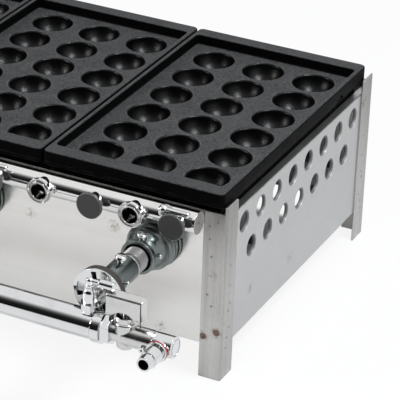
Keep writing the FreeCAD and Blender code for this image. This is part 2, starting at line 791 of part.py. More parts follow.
def pocket_grid(body):
    """The cone bosses under the floor and the round pockets sunk into them."""
    corner = (-pocket_pitch_x * (POCKET_COLUMNS - 1) / 2, 0, pocket_pitch_y * (POCKET_ROWS - 1) / 2)
    tip = -cavity_depth - pocket_radius - boss_wall
    boss = revolve(body, "XZ_Plane", "V_Axis", [
        (0, tip),
        (boss_tip_radius, tip),
        (boss_top_radius, -floor_bottom),
        (boss_top_radius, -floor_bottom + CUT_MARGIN),
        (0, -floor_bottom + CUT_MARGIN),
    ], corner)
    repeat_grid(body, boss)
    bowl = dome(pocket_radius, -cavity_depth, pocket_radius, -1)
    above = -cavity_depth + CUT_MARGIN
    brim = [(0, above), (pocket_radius, above)]
    hollow = revolve(body, "XZ_Plane", "V_Axis", bowl + brim, corner, cut=True)
    repeat_grid(body, hollow)


def repeat_grid(body, feature):
    pattern = repeat(body, feature, pocket_pitch_x, POCKET_COLUMNS)
    pattern.Direction2 = (origin_feature(body, "Y_Axis"), [""])
    pattern.Mode2 = "Spacing"
    pattern.Spacings2 = [-1] * (POCKET_ROWS - 1)
    bind(pattern, "Offset2", pocket_pitch_y)
    pattern.Occurrences2 = POCKET_ROWS


# ---------------------------------------------------------------- lighting rail
def port_rail():
    """The closed tube along the front with its open collars, stubs and pilot bosses."""
    body = new_body("port_rail")
    first = unit_x(0)
    left = left_x + rail_left_inset - first
    right = right_x - rail_right_inset - first
    radius = rail_diameter / 2
    revolve(body, "XZ_Plane", "H_Axis", rectangle(left, 0, right, radius))
    units = len(UNITS)
    for offset in (port_open_first, port_open_second):
        repeat(body, revolve(body, "XY_Plane", "V_Axis", open_collar(), (offset, 0, 0)), unit_pitch, units)
    for offset in (port_shut_first, port_shut_second):
        stub = rectangle(0, -port_reach, stub_radius, 0)
        repeat(body, revolve(body, "XY_Plane", "V_Axis", stub, (offset, 0, 0)), unit_pitch, units)
    repeat(body, pilot_boss(body, pilot_boss_radius, pilot_boss_reach), unit_pitch, units)
    wall = rail_wall
    revolve(body, "XZ_Plane", "H_Axis", rectangle(left + wall, 0, right - wall, radius - wall), cut=True)
    ports = [(port_open_first, port_mouth_radius), (port_open_second, port_mouth_radius)]
    ports += [(port_shut_first, stub_bore_radius), (port_shut_second, stub_bore_radius)]
    for offset, bore in ports:
        mouth = rectangle(0, -port_reach - port_ring_rise - CUT_MARGIN, bore, 0)
        repeat(body, revolve(body, "XY_Plane", "V_Axis", mouth, (offset, 0, 0), cut=True), unit_pitch, units)
    bore = pilot_boss(body, pilot_spigot_radius + screwed_fit, pilot_boss_reach + CUT_MARGIN, cut=True)
    repeat(body, bore, unit_pitch, units)
    return put(body, first, rail_y, rail_height)


def open_collar():
    """Half of an open port: a neck that flares to a collar with a raised ring at its mouth."""
    neck = port_reach - port_collar_length - port_flare
    ring = port_mouth_radius + port_ring_width
    floor = -port_reach + port_groove
    hollow = port_flare_hollow
    middle = (port_collar_radius + port_neck_radius) / 2
    return [
        (0, 0),
        (port_neck_radius, 0),
        (port_neck_radius, -neck),
        (middle - hollow, -neck - port_flare / 2 - hollow, "arc"),
        (port_collar_radius, -neck - port_flare),
        (port_collar_radius, -port_reach),
        (port_collar_radius - port_groove, -port_reach),
        (port_collar_radius - port_groove, floor),
        (ring, floor),
        (ring, -port_reach - port_ring_rise),
        (0, -port_reach - port_ring_rise),
    ]


def pilot_boss(body, radius, reach, cut=False):
    """A short cylinder from the rail's axis, forward and up, that takes a pilot cock."""
    sketch = new_sketch(body, "XY_Plane")
    tilt = FreeCAD.Rotation(FreeCAD.Vector(1, 0, 0), 90 - pilot_tilt.number)
    sketch.AttachmentOffset = FreeCAD.Placement(FreeCAD.Vector(), tilt)
    bind(sketch, "AttachmentOffset.Rotation.Angle", 90 - pilot_tilt)
    bind(sketch, "AttachmentOffset.Base.x", pilot_offset)
    draw_circle(sketch, (0, 0), radius)
    if cut:
        return pocket(body, sketch, reach, backward=True)
    return pad(body, sketch, reach)


def port_cap(label, x):
    """A plug for one of the stubs: a flat disc with a thin bevelled edge and a spigot behind it."""
    spigot = stub_bore_radius - screwed_fit
    front = moving_gap + cap_thickness
    body = turned(label, [
        (0, -cap_spigot_length),
        (spigot, -cap_spigot_length),
        (spigot, moving_gap),
        (cap_radius, moving_gap),
        (cap_radius, front - cap_edge),
        (cap_radius - cap_edge, front),
        (0, front),
    ])
    return put_forward(body, x, rail_y - port_reach, rail_height)


def pilot_cocks():
    """The small screwed cocks that carry the pilot levers."""
    body = new_body("pilot_cocks")
    reach = pilot_boss_reach
    top = reach + pilot_collar_height
    bore = pilot_stem_radius + running_fit
    floor = top - pilot_stem_length - pilot_floor
    ring = revolve(body, "XZ_Plane", "V_Axis", [
        (0, floor - pilot_floor),
        (pilot_spigot_radius, floor - pilot_floor),
        (pilot_spigot_radius, reach),
        (pilot_collar_radius, reach),
        (pilot_collar_radius, top),
        (bore, top),
        (bore, floor),
        (0, floor),
    ])
    repeat(body, ring, unit_pitch, len(UNITS))
    return put_tilted(body, unit_x(0) + pilot_offset)


def put_tilted(body, x):
    """Places a body on the rail's axis with its Z forward and up at the pilots' tilt."""
    return put(body, x, rail_y, rail_height, FreeCAD.Vector(1, 0, 0), 90 - pilot_tilt)


def pilot_lever(label, x):
    """A domed hub on a stem with a round rod to one side."""
    base = pilot_boss_reach + pilot_collar_height + moving_gap
    body = turned(label, [
        (0, base - pilot_stem_length),
        (pilot_stem_radius, base - pilot_stem_length),
        (pilot_stem_radius, base),
        (pilot_hub_radius, base),
    ] + dome(pilot_hub_radius, base + pilot_hub_height, pilot_dome_rise))
    round_end = pilot_rod_length - pilot_rod_radius
    rod = [(0, 0), (pilot_rod_radius, 0)] + dome(pilot_rod_radius, round_end, pilot_rod_radius)
    revolve(body, "XZ_Plane", "H_Axis", sideways(rod), (0, base + pilot_rod_height, 0))
    return put_tilted(body, x)


# ---------------------------------------------------------------- feed line of each burner
def feed_row(label, points):
    """One turned ring or pipe per unit, all in one node."""
    body = new_body(label)
    repeat(body, revolve(body, "XZ_Plane", "V_Axis", points), unit_pitch, len(UNITS))
    return put_forward(body, unit_x(0) + feed_offset, front_y, feed_height)


def put_on_feed(body, unit):
    return put_forward(body, unit_x(unit) + feed_offset, front_y, feed_height)


def feed_rings():
    """The feed pipes, the discs and lock nuts on them, and the lock rings of the sockets."""
    bore = feed_pipe_radius + screwed_fit
    feed_row("feed_pipes", tube_outline(
        feed_pipe_radius - feed_pipe_wall, feed_pipe_radius, -feed_pipe_back, feed_pipe_front))
    feed_row("feed_escutcheons", tube_outline(bore, plate_disc_radius, 0, plate_disc_thickness))
    feed_row("feed_lock_nuts", tube_outline(
        bore, nut_disc_radius, nut_disc_back, nut_disc_back + nut_disc_thickness))
    end = lock_ring_back + lock_ring_length
    feed_row("mixer_lock_rings", [
        (bore, lock_ring_back),
        (lock_ring_radius - socket_chamfer, lock_ring_back),
        (lock_ring_radius, lock_ring_back + socket_chamfer),
        (lock_ring_radius, end),
        (bore, end),
    ])


def mixer_bell(label, unit):
    """The domed bell: a flat shoulder, a rounded body and a lip round the feed pipe."""
    bore = feed_pipe_radius + screwed_fit
    shoulder = bell_back + bell_shoulder_length
    front = bell_back + bell_length
    lip = front - bell_lip_length
    return put_on_feed(turned(label, [
        (bore, bell_back),
        (bell_shoulder_radius - edge_bevel, bell_back),
        (bell_shoulder_radius, bell_back + edge_bevel),
        (bell_shoulder_radius, shoulder),
        (bell_body_radius, shoulder),
        ((bell_body_radius + bell_lip_radius) / 2 + bell_bulge, (shoulder + lip) / 2 + bell_bulge, "arc"),
        (bell_lip_radius, lip),
        (bell_lip_radius, front),
        (bell_lip_bore, front),
        (bell_lip_bore, shoulder + bell_lip_length),
        (bore, shoulder),
    ]), unit)


def mixer_socket(label, unit):
    """The long socket that joins the feed pipe to the air drum."""
    bore = feed_pipe_radius + screwed_fit
    back = lock_ring_back + lock_ring_length
    stop = feed_pipe_front + moving_gap
    return put_on_feed(turned(label, [
        (bore, back),
        (socket_radius - socket_chamfer / 2, back),
        (socket_radius, back + socket_chamfer / 2),
        (socket_radius, socket_end),
        (socket_throat_radius, socket_end),
        (socket_throat_radius, stop),
        (bore, stop),
    ]), unit)


def windows(body, height, depth, turn):
    """Four sector windows cut back from a face at one height, turned away from the top."""
    sketch = new_sketch(body, "XY_Plane", (0, 0, height))
    draw_outline(sketch, ring_sector(window_inner_radius, window_outer_radius, turn, window_half_angle))
    repeat_round(body, pocket(body, sketch, depth), WINDOW_COUNT)


def air_drum(label, unit):
    """The mixer's drum: open inside, with sector windows in its front face."""
    body = turned(label, [
        (socket_radius + screwed_fit, drum_back),
        (drum_radius, drum_back),
        (drum_radius, drum_front),
        (injector_radius + screwed_fit, drum_front),
        (injector_radius + screwed_fit, drum_front - drum_wall),
        (drum_radius - drum_wall, drum_front - drum_wall),
        (drum_radius - drum_wall, drum_back + drum_wall),
        (socket_radius + screwed_fit, drum_back + drum_wall),
    ])
    windows(body, drum_front, drum_wall, window_lap)
    return put_on_feed(body, unit)


def air_shutter(label, unit):
    """The turning disc whose windows open or close those of the drum."""
    back = drum_front + moving_gap
    front = back + shutter_thickness
    body = turned(label, tube_outline(injector_radius + moving_gap, shutter_radius, back, front))
    windows(body, front, shutter_thickness, as_size(0))
    return put_on_feed(body, unit)


def injectors():
    """The nozzles that hold the shutters and carry gas from the cocks into the drums."""
    hub = drum_front + moving_gap * 2 + shutter_thickness
    front = manifold_reach - cock_branch_reach
    feed_row("injectors", [
        (injector_bore_radius, injector_back),
        (injector_radius - edge_bevel, injector_back),
        (injector_radius, injector_back + edge_bevel),
        (injector_radius, hub),
        (injector_hub_radius, hub),
        (injector_hub_radius, hub + injector_hub_length - edge_bevel),
        (injector_hub_radius - edge_bevel, hub + injector_hub_length),
        (injector_neck_radius, hub + injector_hub_length),
        (injector_neck_radius, front),
        (injector_bore_radius, front),
    ])


# ---------------------------------------------------------------- manifold and its cocks
def manifold():
    """The gas tube across the front with one upright boss per cock."""
    body = new_body("manifold")
    left = -manifold_left_end
    right = unit_pitch * (len(UNITS) - 1) + manifold_right_end
    bore = manifold_radius - manifold_wall
    revolve(body, "XZ_Plane", "H_Axis", rectangle(left, 0, right, manifold_radius))
    boss = rectangle(0, 0, manifold_boss_radius, manifold_boss_height)
    repeat(body, revolve(body, "XZ_Plane", "V_Axis", boss), unit_pitch, len(UNITS))
    revolve(body, "XZ_Plane", "H_Axis", rectangle(left - CUT_MARGIN, 0, right + CUT_MARGIN, bore), cut=True)
    hole = rectangle(0, 0, cock_spigot_radius + screwed_fit, manifold_boss_height + CUT_MARGIN)
    repeat(body, revolve(body, "XZ_Plane", "V_Axis", hole, cut=True), unit_pitch, len(UNITS))
    return put(body, unit_x(0) + feed_offset, manifold_y, manifold_height)


def put_on_manifold(body, x):
    """Places a body turned about X on the manifold's axis, its own Z pointing right."""
    return put(body, x, manifold_y, manifold_height, FreeCAD.Vector(0, 1, 0), 90)


def manifold_end_cap():
    """The domed cap on the manifold's left end."""
    end = unit_x(0) + feed_offset - manifold_left_end
    bore = manifold_radius + screwed_fit
    body = turned("manifold_cap", [
        (0, -moving_gap),
        (bore, -moving_gap),
        (bore, end_cap_grip),
        (end_cap_radius, end_cap_grip),
    ] + dome(end_cap_radius, -end_cap_wall / 2, end_cap_wall / 2, -1))
    return put_on_manifold(body, end)


def manifold_collar():
    """The reducing collar on the manifold's right end."""
    bore = manifold_radius + screwed_fit
    throat = valve_bore_radius
    body = turned("manifold_collar", [
        (bore, -collar_grip),
        (collar_radius - edge_bevel, -collar_grip),
        (collar_radius, edge_bevel - collar_grip),
        (collar_radius, collar_length - collar_grip),
        (throat, collar_length - collar_grip),
        (throat, moving_gap),
        (bore, moving_gap),
    ])
    return put_on_manifold(body, manifold_end)


def collar_front():
    """Where the collar ends and the union begins, along X."""
    return manifold_end + collar_length - collar_grip


def union_nut():
    """The hexagon nut between the collar and the main valve, over the valve's port."""
    body = new_body("union_nut")
    face = new_sketch(body, "XY_Plane")
    draw_outline(face, hexagon(union_flats))
    draw_circle(face, (0, 0), valve_port_radius + screwed_fit)
    pad(body, face, union_length)
    chamfer(body, socket_chamfer, lambda edge: edge.Length > union_flats.number / 2 and (
        lies_at(edge, "Z", 0) or lies_at(edge, "Z", union_length)) and not isinstance(edge.Curve, Part.Circle))
    return put_on_manifold(body, collar_front())


def stem_bore(body, stem_radius, top, stem_length):
    """Cuts the upright bore of a handle's stem."""
    bottom = top - stem_length - stem_space
    bore = rectangle(0, bottom, stem_radius + running_fit, top + CUT_MARGIN)
    revolve(body, "XZ_Plane", "V_Axis", bore, cut=True)


def gas_cock(label, unit):
    """A plug cock: hexagon foot, a barrel with a ball shoulder and a branch to the injector."""
    body = new_body(label)
    bottom = manifold_boss_height
    ball = cock_radius * cock_radius
    half_way = (cock_radius + cock_top_radius) / 2
    revolve(body, "XZ_Plane", "V_Axis", [
        (0, bottom - cock_spigot_length),
        (cock_spigot_radius, bottom - cock_spigot_length),
        (cock_spigot_radius, bottom),
        (cock_radius, bottom),
        (cock_radius, cock_shoulder_height),
        (half_way, cock_shoulder_height + root(ball - half_way * half_way), "arc"),
        (cock_top_radius, cock_shoulder_height + root(ball - cock_top_radius * cock_top_radius)),
        (cock_top_radius, cock_top_height),
        (0, cock_top_height),
    ])
    foot = new_sketch(body, "XY_Plane", (0, 0, bottom))
    draw_outline(foot, hexagon(cock_hex_flats))
    pad(body, foot, cock_hex_height)
    level = feed_height - manifold_height
    branch = rectangle(0, 0, cock_branch_reach, cock_branch_radius)
    revolve(body, "YZ_Plane", "H_Axis", branch, (0, level, 0))
    stem_bore(body, lever_stem_radius, cock_top_height, lever_stem_length)
    return put(body, unit_x(unit) + feed_offset, manifold_y, manifold_height)


def cock_lever(label, unit):
    """The cock's handle: a stem, a domed head and an arm that ends in a barrel grip."""
    top = cock_top_height + moving_gap
    arm = cock_top_height + lever_height
    body = turned(label, [
        (0, cock_top_height - lever_stem_length),
        (lever_stem_radius, cock_top_height - lever_stem_length),
        (lever_stem_radius, top),
        (lever_collar_radius, top),
        (lever_collar_radius, arm - lever_dome_radius),
        (lever_dome_radius, arm - lever_dome_radius),
    ] + dome(lever_dome_radius, arm, lever_dome_radius))
    grip = lever_neck_length
    end = lever_length
    step = lever_grip_bevel
    revolve(body, "XZ_Plane", "H_Axis", [
        (0, 0),
        (end, 0),
        (end, lever_barrel_radius - step),
        (end - step, lever_barrel_radius),
        (grip + step, lever_barrel_radius),
        (grip, lever_neck_radius),
        (0, lever_neck_radius),
    ], (0, arm, 0))
    return put(body, unit_x(unit) + feed_offset, manifold_y, manifold_height)


# ---------------------------------------------------------------- main valve and hose end
def main_valve_body():
    """A ball valve: upright barrel, inlet port, outlet with a test boss, and a top for the stem."""
    body = new_body("main_valve_body")
    top = valve_rise + valve_top_height
    round_drop = valve_rounding * (1 - math.sqrt(0.5))
    revolve(body, "XZ_Plane", "V_Axis", [
        (0, -valve_drop),
        (valve_foot_radius - valve_rounding, -valve_drop),
        (valve_foot_radius - round_drop, -valve_drop + round_drop, "arc"),
        (valve_foot_radius, -valve_drop + valve_rounding),
        (valve_radius, valve_rise - valve_rounding),
        (valve_radius - round_drop, valve_rise - round_drop, "arc"),
        (valve_radius - valve_rounding, valve_rise),
        (valve_top_radius, valve_rise),
        (valve_top_radius, top),
        (0, top),
    ])
    inlet = collar_front() - valve_x
    revolve(body, "XZ_Plane", "H_Axis", rectangle(inlet, 0, 0, valve_port_radius))
    revolve(body, "XZ_Plane", "H_Axis", rectangle(0, 0, valve_outlet_reach, valve_outlet_radius))
    boss = rectangle(-test_boss_reach, 0, 0, test_boss_radius)
    revolve(body, "YZ_Plane", "H_Axis", boss, (0, -test_drop, test_place))
    stem_bore(body, valve_stem_radius, top, valve_stem_length)
    flow = rectangle(inlet - CUT_MARGIN, 0, valve_outlet_reach + CUT_MARGIN, valve_bore_radius)
    revolve(body, "XZ_Plane", "H_Axis", flow, cut=True)
    return put(body, valve_x, manifold_y, manifold_height)


def main_valve_handle():
    """A block handle, hollow below, notched over the valve's top, with its stem in the middle."""
    body = new_body("main_valve_handle")
    top = handle_base + handle_height
    roof = top - handle_wall
    block = new_sketch(body, "XY_Plane", (0, 0, handle_base))
    draw_outline(block, rounded_rectangle(handle_length / 2, handle_width / 2, handle_corner))
    pad(body, block, handle_height)
    fillet(body, handle_corner / 2, lambda edge: lies_at(edge, "Z", top))
    inside = new_sketch(body, "XY_Plane", (0, 0, handle_base))
    draw_outline(inside, rounded_rectangle(
        handle_length / 2 - handle_wall, handle_width / 2 - handle_wall, handle_corner / 2))
    pocket(body, inside, roof - handle_base, backward=True)
    notch = new_sketch(body, "XZ_Plane", (0, 0, -handle_width))
    half = handle_notch_width / 2
    draw_outline(notch, [
        (-half, handle_base - CUT_MARGIN),
        (-half, handle_base),
        (0, handle_base + handle_notch_height, "arc"),
        (half, handle_base),
        (half, handle_base - CUT_MARGIN),
    ])
    pocket(body, notch, handle_width * 2, backward=True)
    seat = valve_rise + valve_top_height
    revolve(body, "XZ_Plane", "V_Axis", [
        (0, seat - valve_stem_length),
        (valve_stem_radius, seat - valve_stem_length),
        (valve_stem_radius, seat + moving_gap),
        (handle_hub_radius, seat + moving_gap),
        (handle_hub_radius, roof),
        (0, roof),
    ])
    return put(body, valve_x, manifold_y, manifold_height)


def outlet_elbow():
    """The elbow after the valve: a plugged end to the right and a branch to the front."""
    body = new_body("outlet_elbow")
    left = elbow_axis_inset - elbow_length
    right = elbow_axis_inset
    groove = elbow_plug_groove
    plug = elbow_plug_radius
    revolve(body, "XZ_Plane", "H_Axis", [
        (left, 0),
        (left, elbow_radius - edge_bevel),
        (left + edge_bevel, elbow_radius),
        (right - edge_bevel, elbow_radius),
        (right, elbow_radius - edge_bevel),
        (right, plug + groove),
        (right - groove, plug + groove),
        (right - groove, plug),
        (right, plug),
        (right, 0),
    ])
    revolve(body, "XY_Plane", "V_Axis", rectangle(0, -elbow_branch_reach, elbow_branch_radius, 0))
    revolve(body, "XZ_Plane", "H_Axis", rectangle(left - CUT_MARGIN, 0, 0, hose_bore_radius), cut=True)
    outlet = rectangle(0, -elbow_branch_reach - CUT_MARGIN, hose_bore_radius, 0)
    revolve(body, "XY_Plane", "V_Axis", outlet, cut=True)
    return put(body, right_x + elbow_overhang - elbow_axis_inset, manifold_y, manifold_height)


def hose_end():
    """The hose nipple: a shoulder, a narrow neck, the barrel that the hose grips and a tapered tip."""
    barrel = hose_shoulder_length + hose_neck_length
    taper = barrel + hose_barrel_length
    body = turned("hose_end", [
        (hose_bore_radius, 0),
        (hose_shoulder_radius - edge_bevel, 0),
        (hose_shoulder_radius, edge_bevel),
        (hose_shoulder_radius, hose_shoulder_length),
        (hose_neck_radius, hose_shoulder_length),
        (hose_neck_radius, barrel),
        (hose_barrel_radius, barrel),
        (hose_barrel_radius, taper),
        (hose_neck_radius, taper),
        (hose_tip_radius, hose_end_length),
        (hose_bore_radius, hose_end_length),
    ])
    x = right_x + elbow_overhang - elbow_axis_inset
    return put_forward(body, x, manifold_y - elbow_branch_reach, manifold_height)


def test_nipple():
    """The small nipple for testing the pressure, on the valve's outlet."""
    body = new_body("test_nipple")
    foot = new_sketch(body, "XY_Plane")
    draw_outline(foot, hexagon(test_hex_flats))
    pad(body, foot, test_hex_length)
    length = test_hex_length + test_length
    revolve(body, "XZ_Plane", "V_Axis", [
        (0, 0),
        (test_radius, 0),
        (test_radius, length),
        (test_bore_radius, length),
        (test_bore_radius, test_hex_length),
        (0, test_hex_length),
    ])
    return put_forward(body, valve_x + test_place, manifold_y - test_boss_reach, manifold_height - test_drop)


# ---------------------------------------------------------------- burners
def burner(label, unit):
    """A cast burner: an inlet, a header across it and one pipe with flame ports under each column."""
    body = new_body(label)
    inlet = burner_inlet_back - burner_header
    half = pocket_pitch_x * (POCKET_COLUMNS - 1) / 2
    revolve(body, "XY_Plane", "V_Axis", rectangle(0, inlet, burner_inlet_radius, 0), (feed_offset, 0, 0))
    revolve(body, "XZ_Plane", "H_Axis", rectangle(-half, 0, half, burner_radius))
    reach = burner_end - burner_header
    outline = dome(burner_radius, reach - burner_radius, burner_radius)
    outline += reversed(dome(burner_radius, 0, burner_radius, -1))
    pipe = revolve(body, "XY_Plane", "V_Axis", outline, (-half, 0, 0))
    repeat(body, pipe, pocket_pitch_x, POCKET_COLUMNS)
    mouth = rectangle(0, inlet - CUT_MARGIN, feed_pipe_radius + screwed_fit, inlet + burner_socket_depth)
    revolve(body, "XY_Plane", "V_Axis", mouth, (feed_offset, 0, 0), cut=True)
    first_row = plate_y - pocket_pitch_y * (POCKET_ROWS - 1) / 2 - front_y - burner_header
    hole = new_sketch(body, "XY_Plane", (0, 0, burner_radius + CUT_MARGIN))
    draw_circle(hole, (-half, first_row), burner_port_radius)
    repeat_grid(body, pocket(body, hole, burner_port_depth + CUT_MARGIN))
    return put(body, unit_x(unit), front_y + burner_header, feed_height)


def burner_bars():
    """Two flat bars from side panel to side panel that carry the burners."""
    body = new_body("burner_bars")
    profile = new_sketch(body, "YZ_Plane")
    draw_outline(profile, rectangle(-bar_thickness / 2, -bar_height, bar_thickness / 2, 0))
    bar = pad(body, profile, body_width - side_inner * 2)
    repeat(body, bar, bar_back - bar_front, 2, "Y_Axis")
    top = feed_height - burner_radius - bar_gap
    return put(body, left_x + side_inner, front_y + bar_front, top)


# ---------------------------------------------------------------- the whole part
def build():
    """Builds every sub-part, one body each."""
    for side_name, side in SIDES:
        side_panel(side_name + "_panel", side)
        for end_name, end in ENDS:
            leg("leg_" + end_name + "_" + side_name, side, end)
    for end_name, end in ENDS:
        end_panel(end_name + "_panel", end)
        plate_ledge("plate_ledge_" + end_name, end)
    port_rail()
    pilot_cocks()
    feed_rings()
    injectors()
    manifold()
    manifold_end_cap()
    manifold_collar()
    union_nut()
    main_valve_body()
    main_valve_handle()
    outlet_elbow()
    hose_end()
    test_nipple()
    burner_bars()
    for unit, name in enumerate(UNITS):
        cooking_plate("cooking_plate_" + name, unit)
        port_cap("port_cap_" + name + "_1", unit_x(unit) + port_shut_first)
        port_cap("port_cap_" + name + "_2", unit_x(unit) + port_shut_second)
        pilot_lever("pilot_lever_" + name, unit_x(unit) + pilot_offset)
        mixer_bell("mixer_bell_" + name, unit)
        mixer_socket("mixer_socket_" + name, unit)
        air_drum("air_drum_" + name, unit)
        air_shutter("air_shutter_" + name, unit)
        gas_cock("gas_cock_" + name, unit)
        cock_lever("cock_lever_" + name, unit)
        burner("burner_" + name, unit)
    DOCUMENT.recompute()


def check_and_export():
    """Stops on any failed object, then writes one STEP file per sub-part."""
    for thing in DOCUMENT.Objects:
        if "Invalid" in thing.State or "Error" in thing.State:
            raise ValueError(thing.Label + " failed to compute")
    bodies = [thing for thing in DOCUMENT.Objects if thing.TypeId == "PartDesign::Body"]
    for body in bodies:
        if body.Shape.isNull() or not body.Shape.isValid():
            raise ValueError(body.Label + " has no valid shape")
    os.makedirs("parts", exist_ok=True)
    for body in bodies:
        body.Shape.exportStep("parts/" + body.Label + ".step")


build()
check_and_export()
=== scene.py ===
"""A table cooker with three dimpled iron plates: its finishes, its small fittings and its studio."""
import logging
import math
from dataclasses import dataclass
from enum import Enum

import bpy
from mathutils import Matrix, Vector


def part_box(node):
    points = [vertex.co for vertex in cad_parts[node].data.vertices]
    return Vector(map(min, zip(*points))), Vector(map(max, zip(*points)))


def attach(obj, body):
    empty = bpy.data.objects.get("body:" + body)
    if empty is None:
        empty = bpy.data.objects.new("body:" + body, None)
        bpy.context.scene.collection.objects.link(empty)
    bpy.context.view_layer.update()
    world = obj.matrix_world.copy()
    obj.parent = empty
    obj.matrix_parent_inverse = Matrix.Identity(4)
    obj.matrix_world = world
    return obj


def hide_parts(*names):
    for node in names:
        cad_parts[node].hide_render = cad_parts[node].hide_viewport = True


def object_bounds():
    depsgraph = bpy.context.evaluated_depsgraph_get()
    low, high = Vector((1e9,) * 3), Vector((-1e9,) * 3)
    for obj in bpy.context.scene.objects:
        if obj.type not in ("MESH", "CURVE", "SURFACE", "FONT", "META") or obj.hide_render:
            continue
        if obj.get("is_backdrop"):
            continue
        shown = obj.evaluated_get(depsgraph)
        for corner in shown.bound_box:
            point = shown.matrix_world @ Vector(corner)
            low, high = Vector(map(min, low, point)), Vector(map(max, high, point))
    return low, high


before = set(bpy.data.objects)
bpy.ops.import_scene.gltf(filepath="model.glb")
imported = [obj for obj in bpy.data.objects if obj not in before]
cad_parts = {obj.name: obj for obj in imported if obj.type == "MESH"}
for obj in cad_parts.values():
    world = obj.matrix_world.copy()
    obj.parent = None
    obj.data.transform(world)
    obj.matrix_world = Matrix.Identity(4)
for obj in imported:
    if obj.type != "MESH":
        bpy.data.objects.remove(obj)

LOG = logging.getLogger("cooker")
UNITS = ("left", "middle", "right")
BASE = "stove_base"
MM = 0.001
RIM_DEPTH = 10.7 * MM
QUARTER = math.radians(90)
CIRCLE = math.radians(360)

Socket = bpy.types.NodeSocket
Sockets = bpy.types.bpy_prop_collection
Tree = bpy.types.NodeTree
Material = bpy.types.Material
Piece = bpy.types.Object


class Slot(Enum):
    """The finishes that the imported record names."""

    PLATE = "plate_iron"
    SHEET = "stainless_sheet"
    ZINC = "zinc_plate"
    VALVE = "valve_nickel"
    CHROME = "fitting_chrome"


class Axis(Enum):
    """The way a turned piece points, as the turn that brings its own Z there."""

    UP = (0.0, 0.0, 0.0)
    FORWARD = (QUARTER, 0.0, 0.0)
    RIGHT = (0.0, QUARTER, 0.0)
    LEFT = (0.0, -QUARTER, 0.0)


def grey(level: float, warmth: float = 0.0) -> tuple:
    """A grey as a colour, warmer above 0 and cooler below."""
    return (level * (1 + warmth), level, level * (1 - warmth), 1.0)


# ---------------------------------------------------------------- nodes of the materials
class NodeBoard:
    """A node tree being wired, with one short call for each kind of step."""

    def __init__(self, tree: Tree) -> None:
        """Keeps the tree that the calls add to."""
        self.tree = tree

    def feed(self, socket: Socket, value: object) -> None:
        """Links a socket to another socket, or writes a plain value into it.

        Args:
            socket: The socket to feed.
            value: The other socket, or the value.
        """
        if isinstance(value, Socket):
            self.tree.links.new(value, socket)
        else:
            socket.default_value = value

    def add(self, kind: str, sockets: dict | None = None, **settings: object) -> bpy.types.Node:
        """Adds one node.

        Args:
            kind: The node's type without its ShaderNode beginning.
            sockets: What its inputs are fed with, by their names or numbers.
            settings: Properties of the node to set.

        Returns:
            The new node.
        """
        prefix = "" if kind.startswith("NodeGroup") else "ShaderNode"
        node = self.tree.nodes.new(prefix + kind)
        for name, value in settings.items():
            setattr(node, name, value)
        for label, value in (sockets or {}).items():
            self.feed(node.inputs[label], value)
        return node

    def math(self, operation: str, first: object, second: object = 0.0, clamp: bool = False) -> Socket:
        """Works out a number from one or two others, kept between 0 and 1 where clamp asks for it."""
        return self.add("Math", {0: first, 1: second}, operation=operation, use_clamp=clamp).outputs[0]

    def times(self, first: object, second: object, clamp: bool = False) -> Socket:
        """Multiplies two numbers."""
        return self.math("MULTIPLY", first, second, clamp)

    def step(self, value: object, low: object, high: object) -> Socket:
        """Turns a value into a smooth mask that is 0 at low and 1 at high."""
        sockets = {"Value": value, "From Min": low, "From Max": high}
        return self.add("MapRange", sockets, interpolation_type="SMOOTHSTEP").outputs["Result"]

    def span(self, value: object, low: object, high: object) -> Socket:
        """Spreads a mask from 0 to 1 over the numbers from low to high."""
        return self.add("MapRange", {"Value": value, "To Min": low, "To Max": high}).outputs["Result"]

    def blend(self, factor: object, first: object, second: object) -> Socket:
        """Mixes two colours, with the factor as the share of the second."""
        return self.add("Mix", {0: factor, 6: first, 7: second}, data_type="RGBA").outputs[2]

    def tint(self, colour: object, mask: object, share: float, other: object) -> Socket:
        """Turns a colour toward another where a mask is, by no more than a share."""
        return self.blend(self.times(mask, share), colour, other)

    def place(self, output: str = "Object") -> Socket:
        """The surface's point in the object's own coordinates, in metres, or its Normal there."""
        return self.add("TexCoord").outputs[output]

    def axes(self, output: str = "Object") -> Sockets:
        """The X, Y and Z of the surface's place or of its Normal."""
        return self.add("SeparateXYZ", {0: self.place(output)}).outputs

    def noise(self, scale: object, detail: float = 3.0, roughness: float = 0.55,
              vector: object = None) -> Socket:
        """Cloudy noise over the object's own coordinates, or over another place that is given."""
        sockets = {"Vector": vector or self.place(), "Scale": scale, "Detail": detail,
                   "Roughness": roughness}
        return self.add("TexNoise", sockets).outputs["Fac"]

    def bump(self, height: object, distance: float, normal: object = None) -> Socket:
        """Turns a height into a normal, the full height in metres, on top of another normal if given."""
        sockets = {"Distance": distance, "Height": height} | ({"Normal": normal} if normal else {})
        return self.add("Bump", sockets).outputs["Normal"]


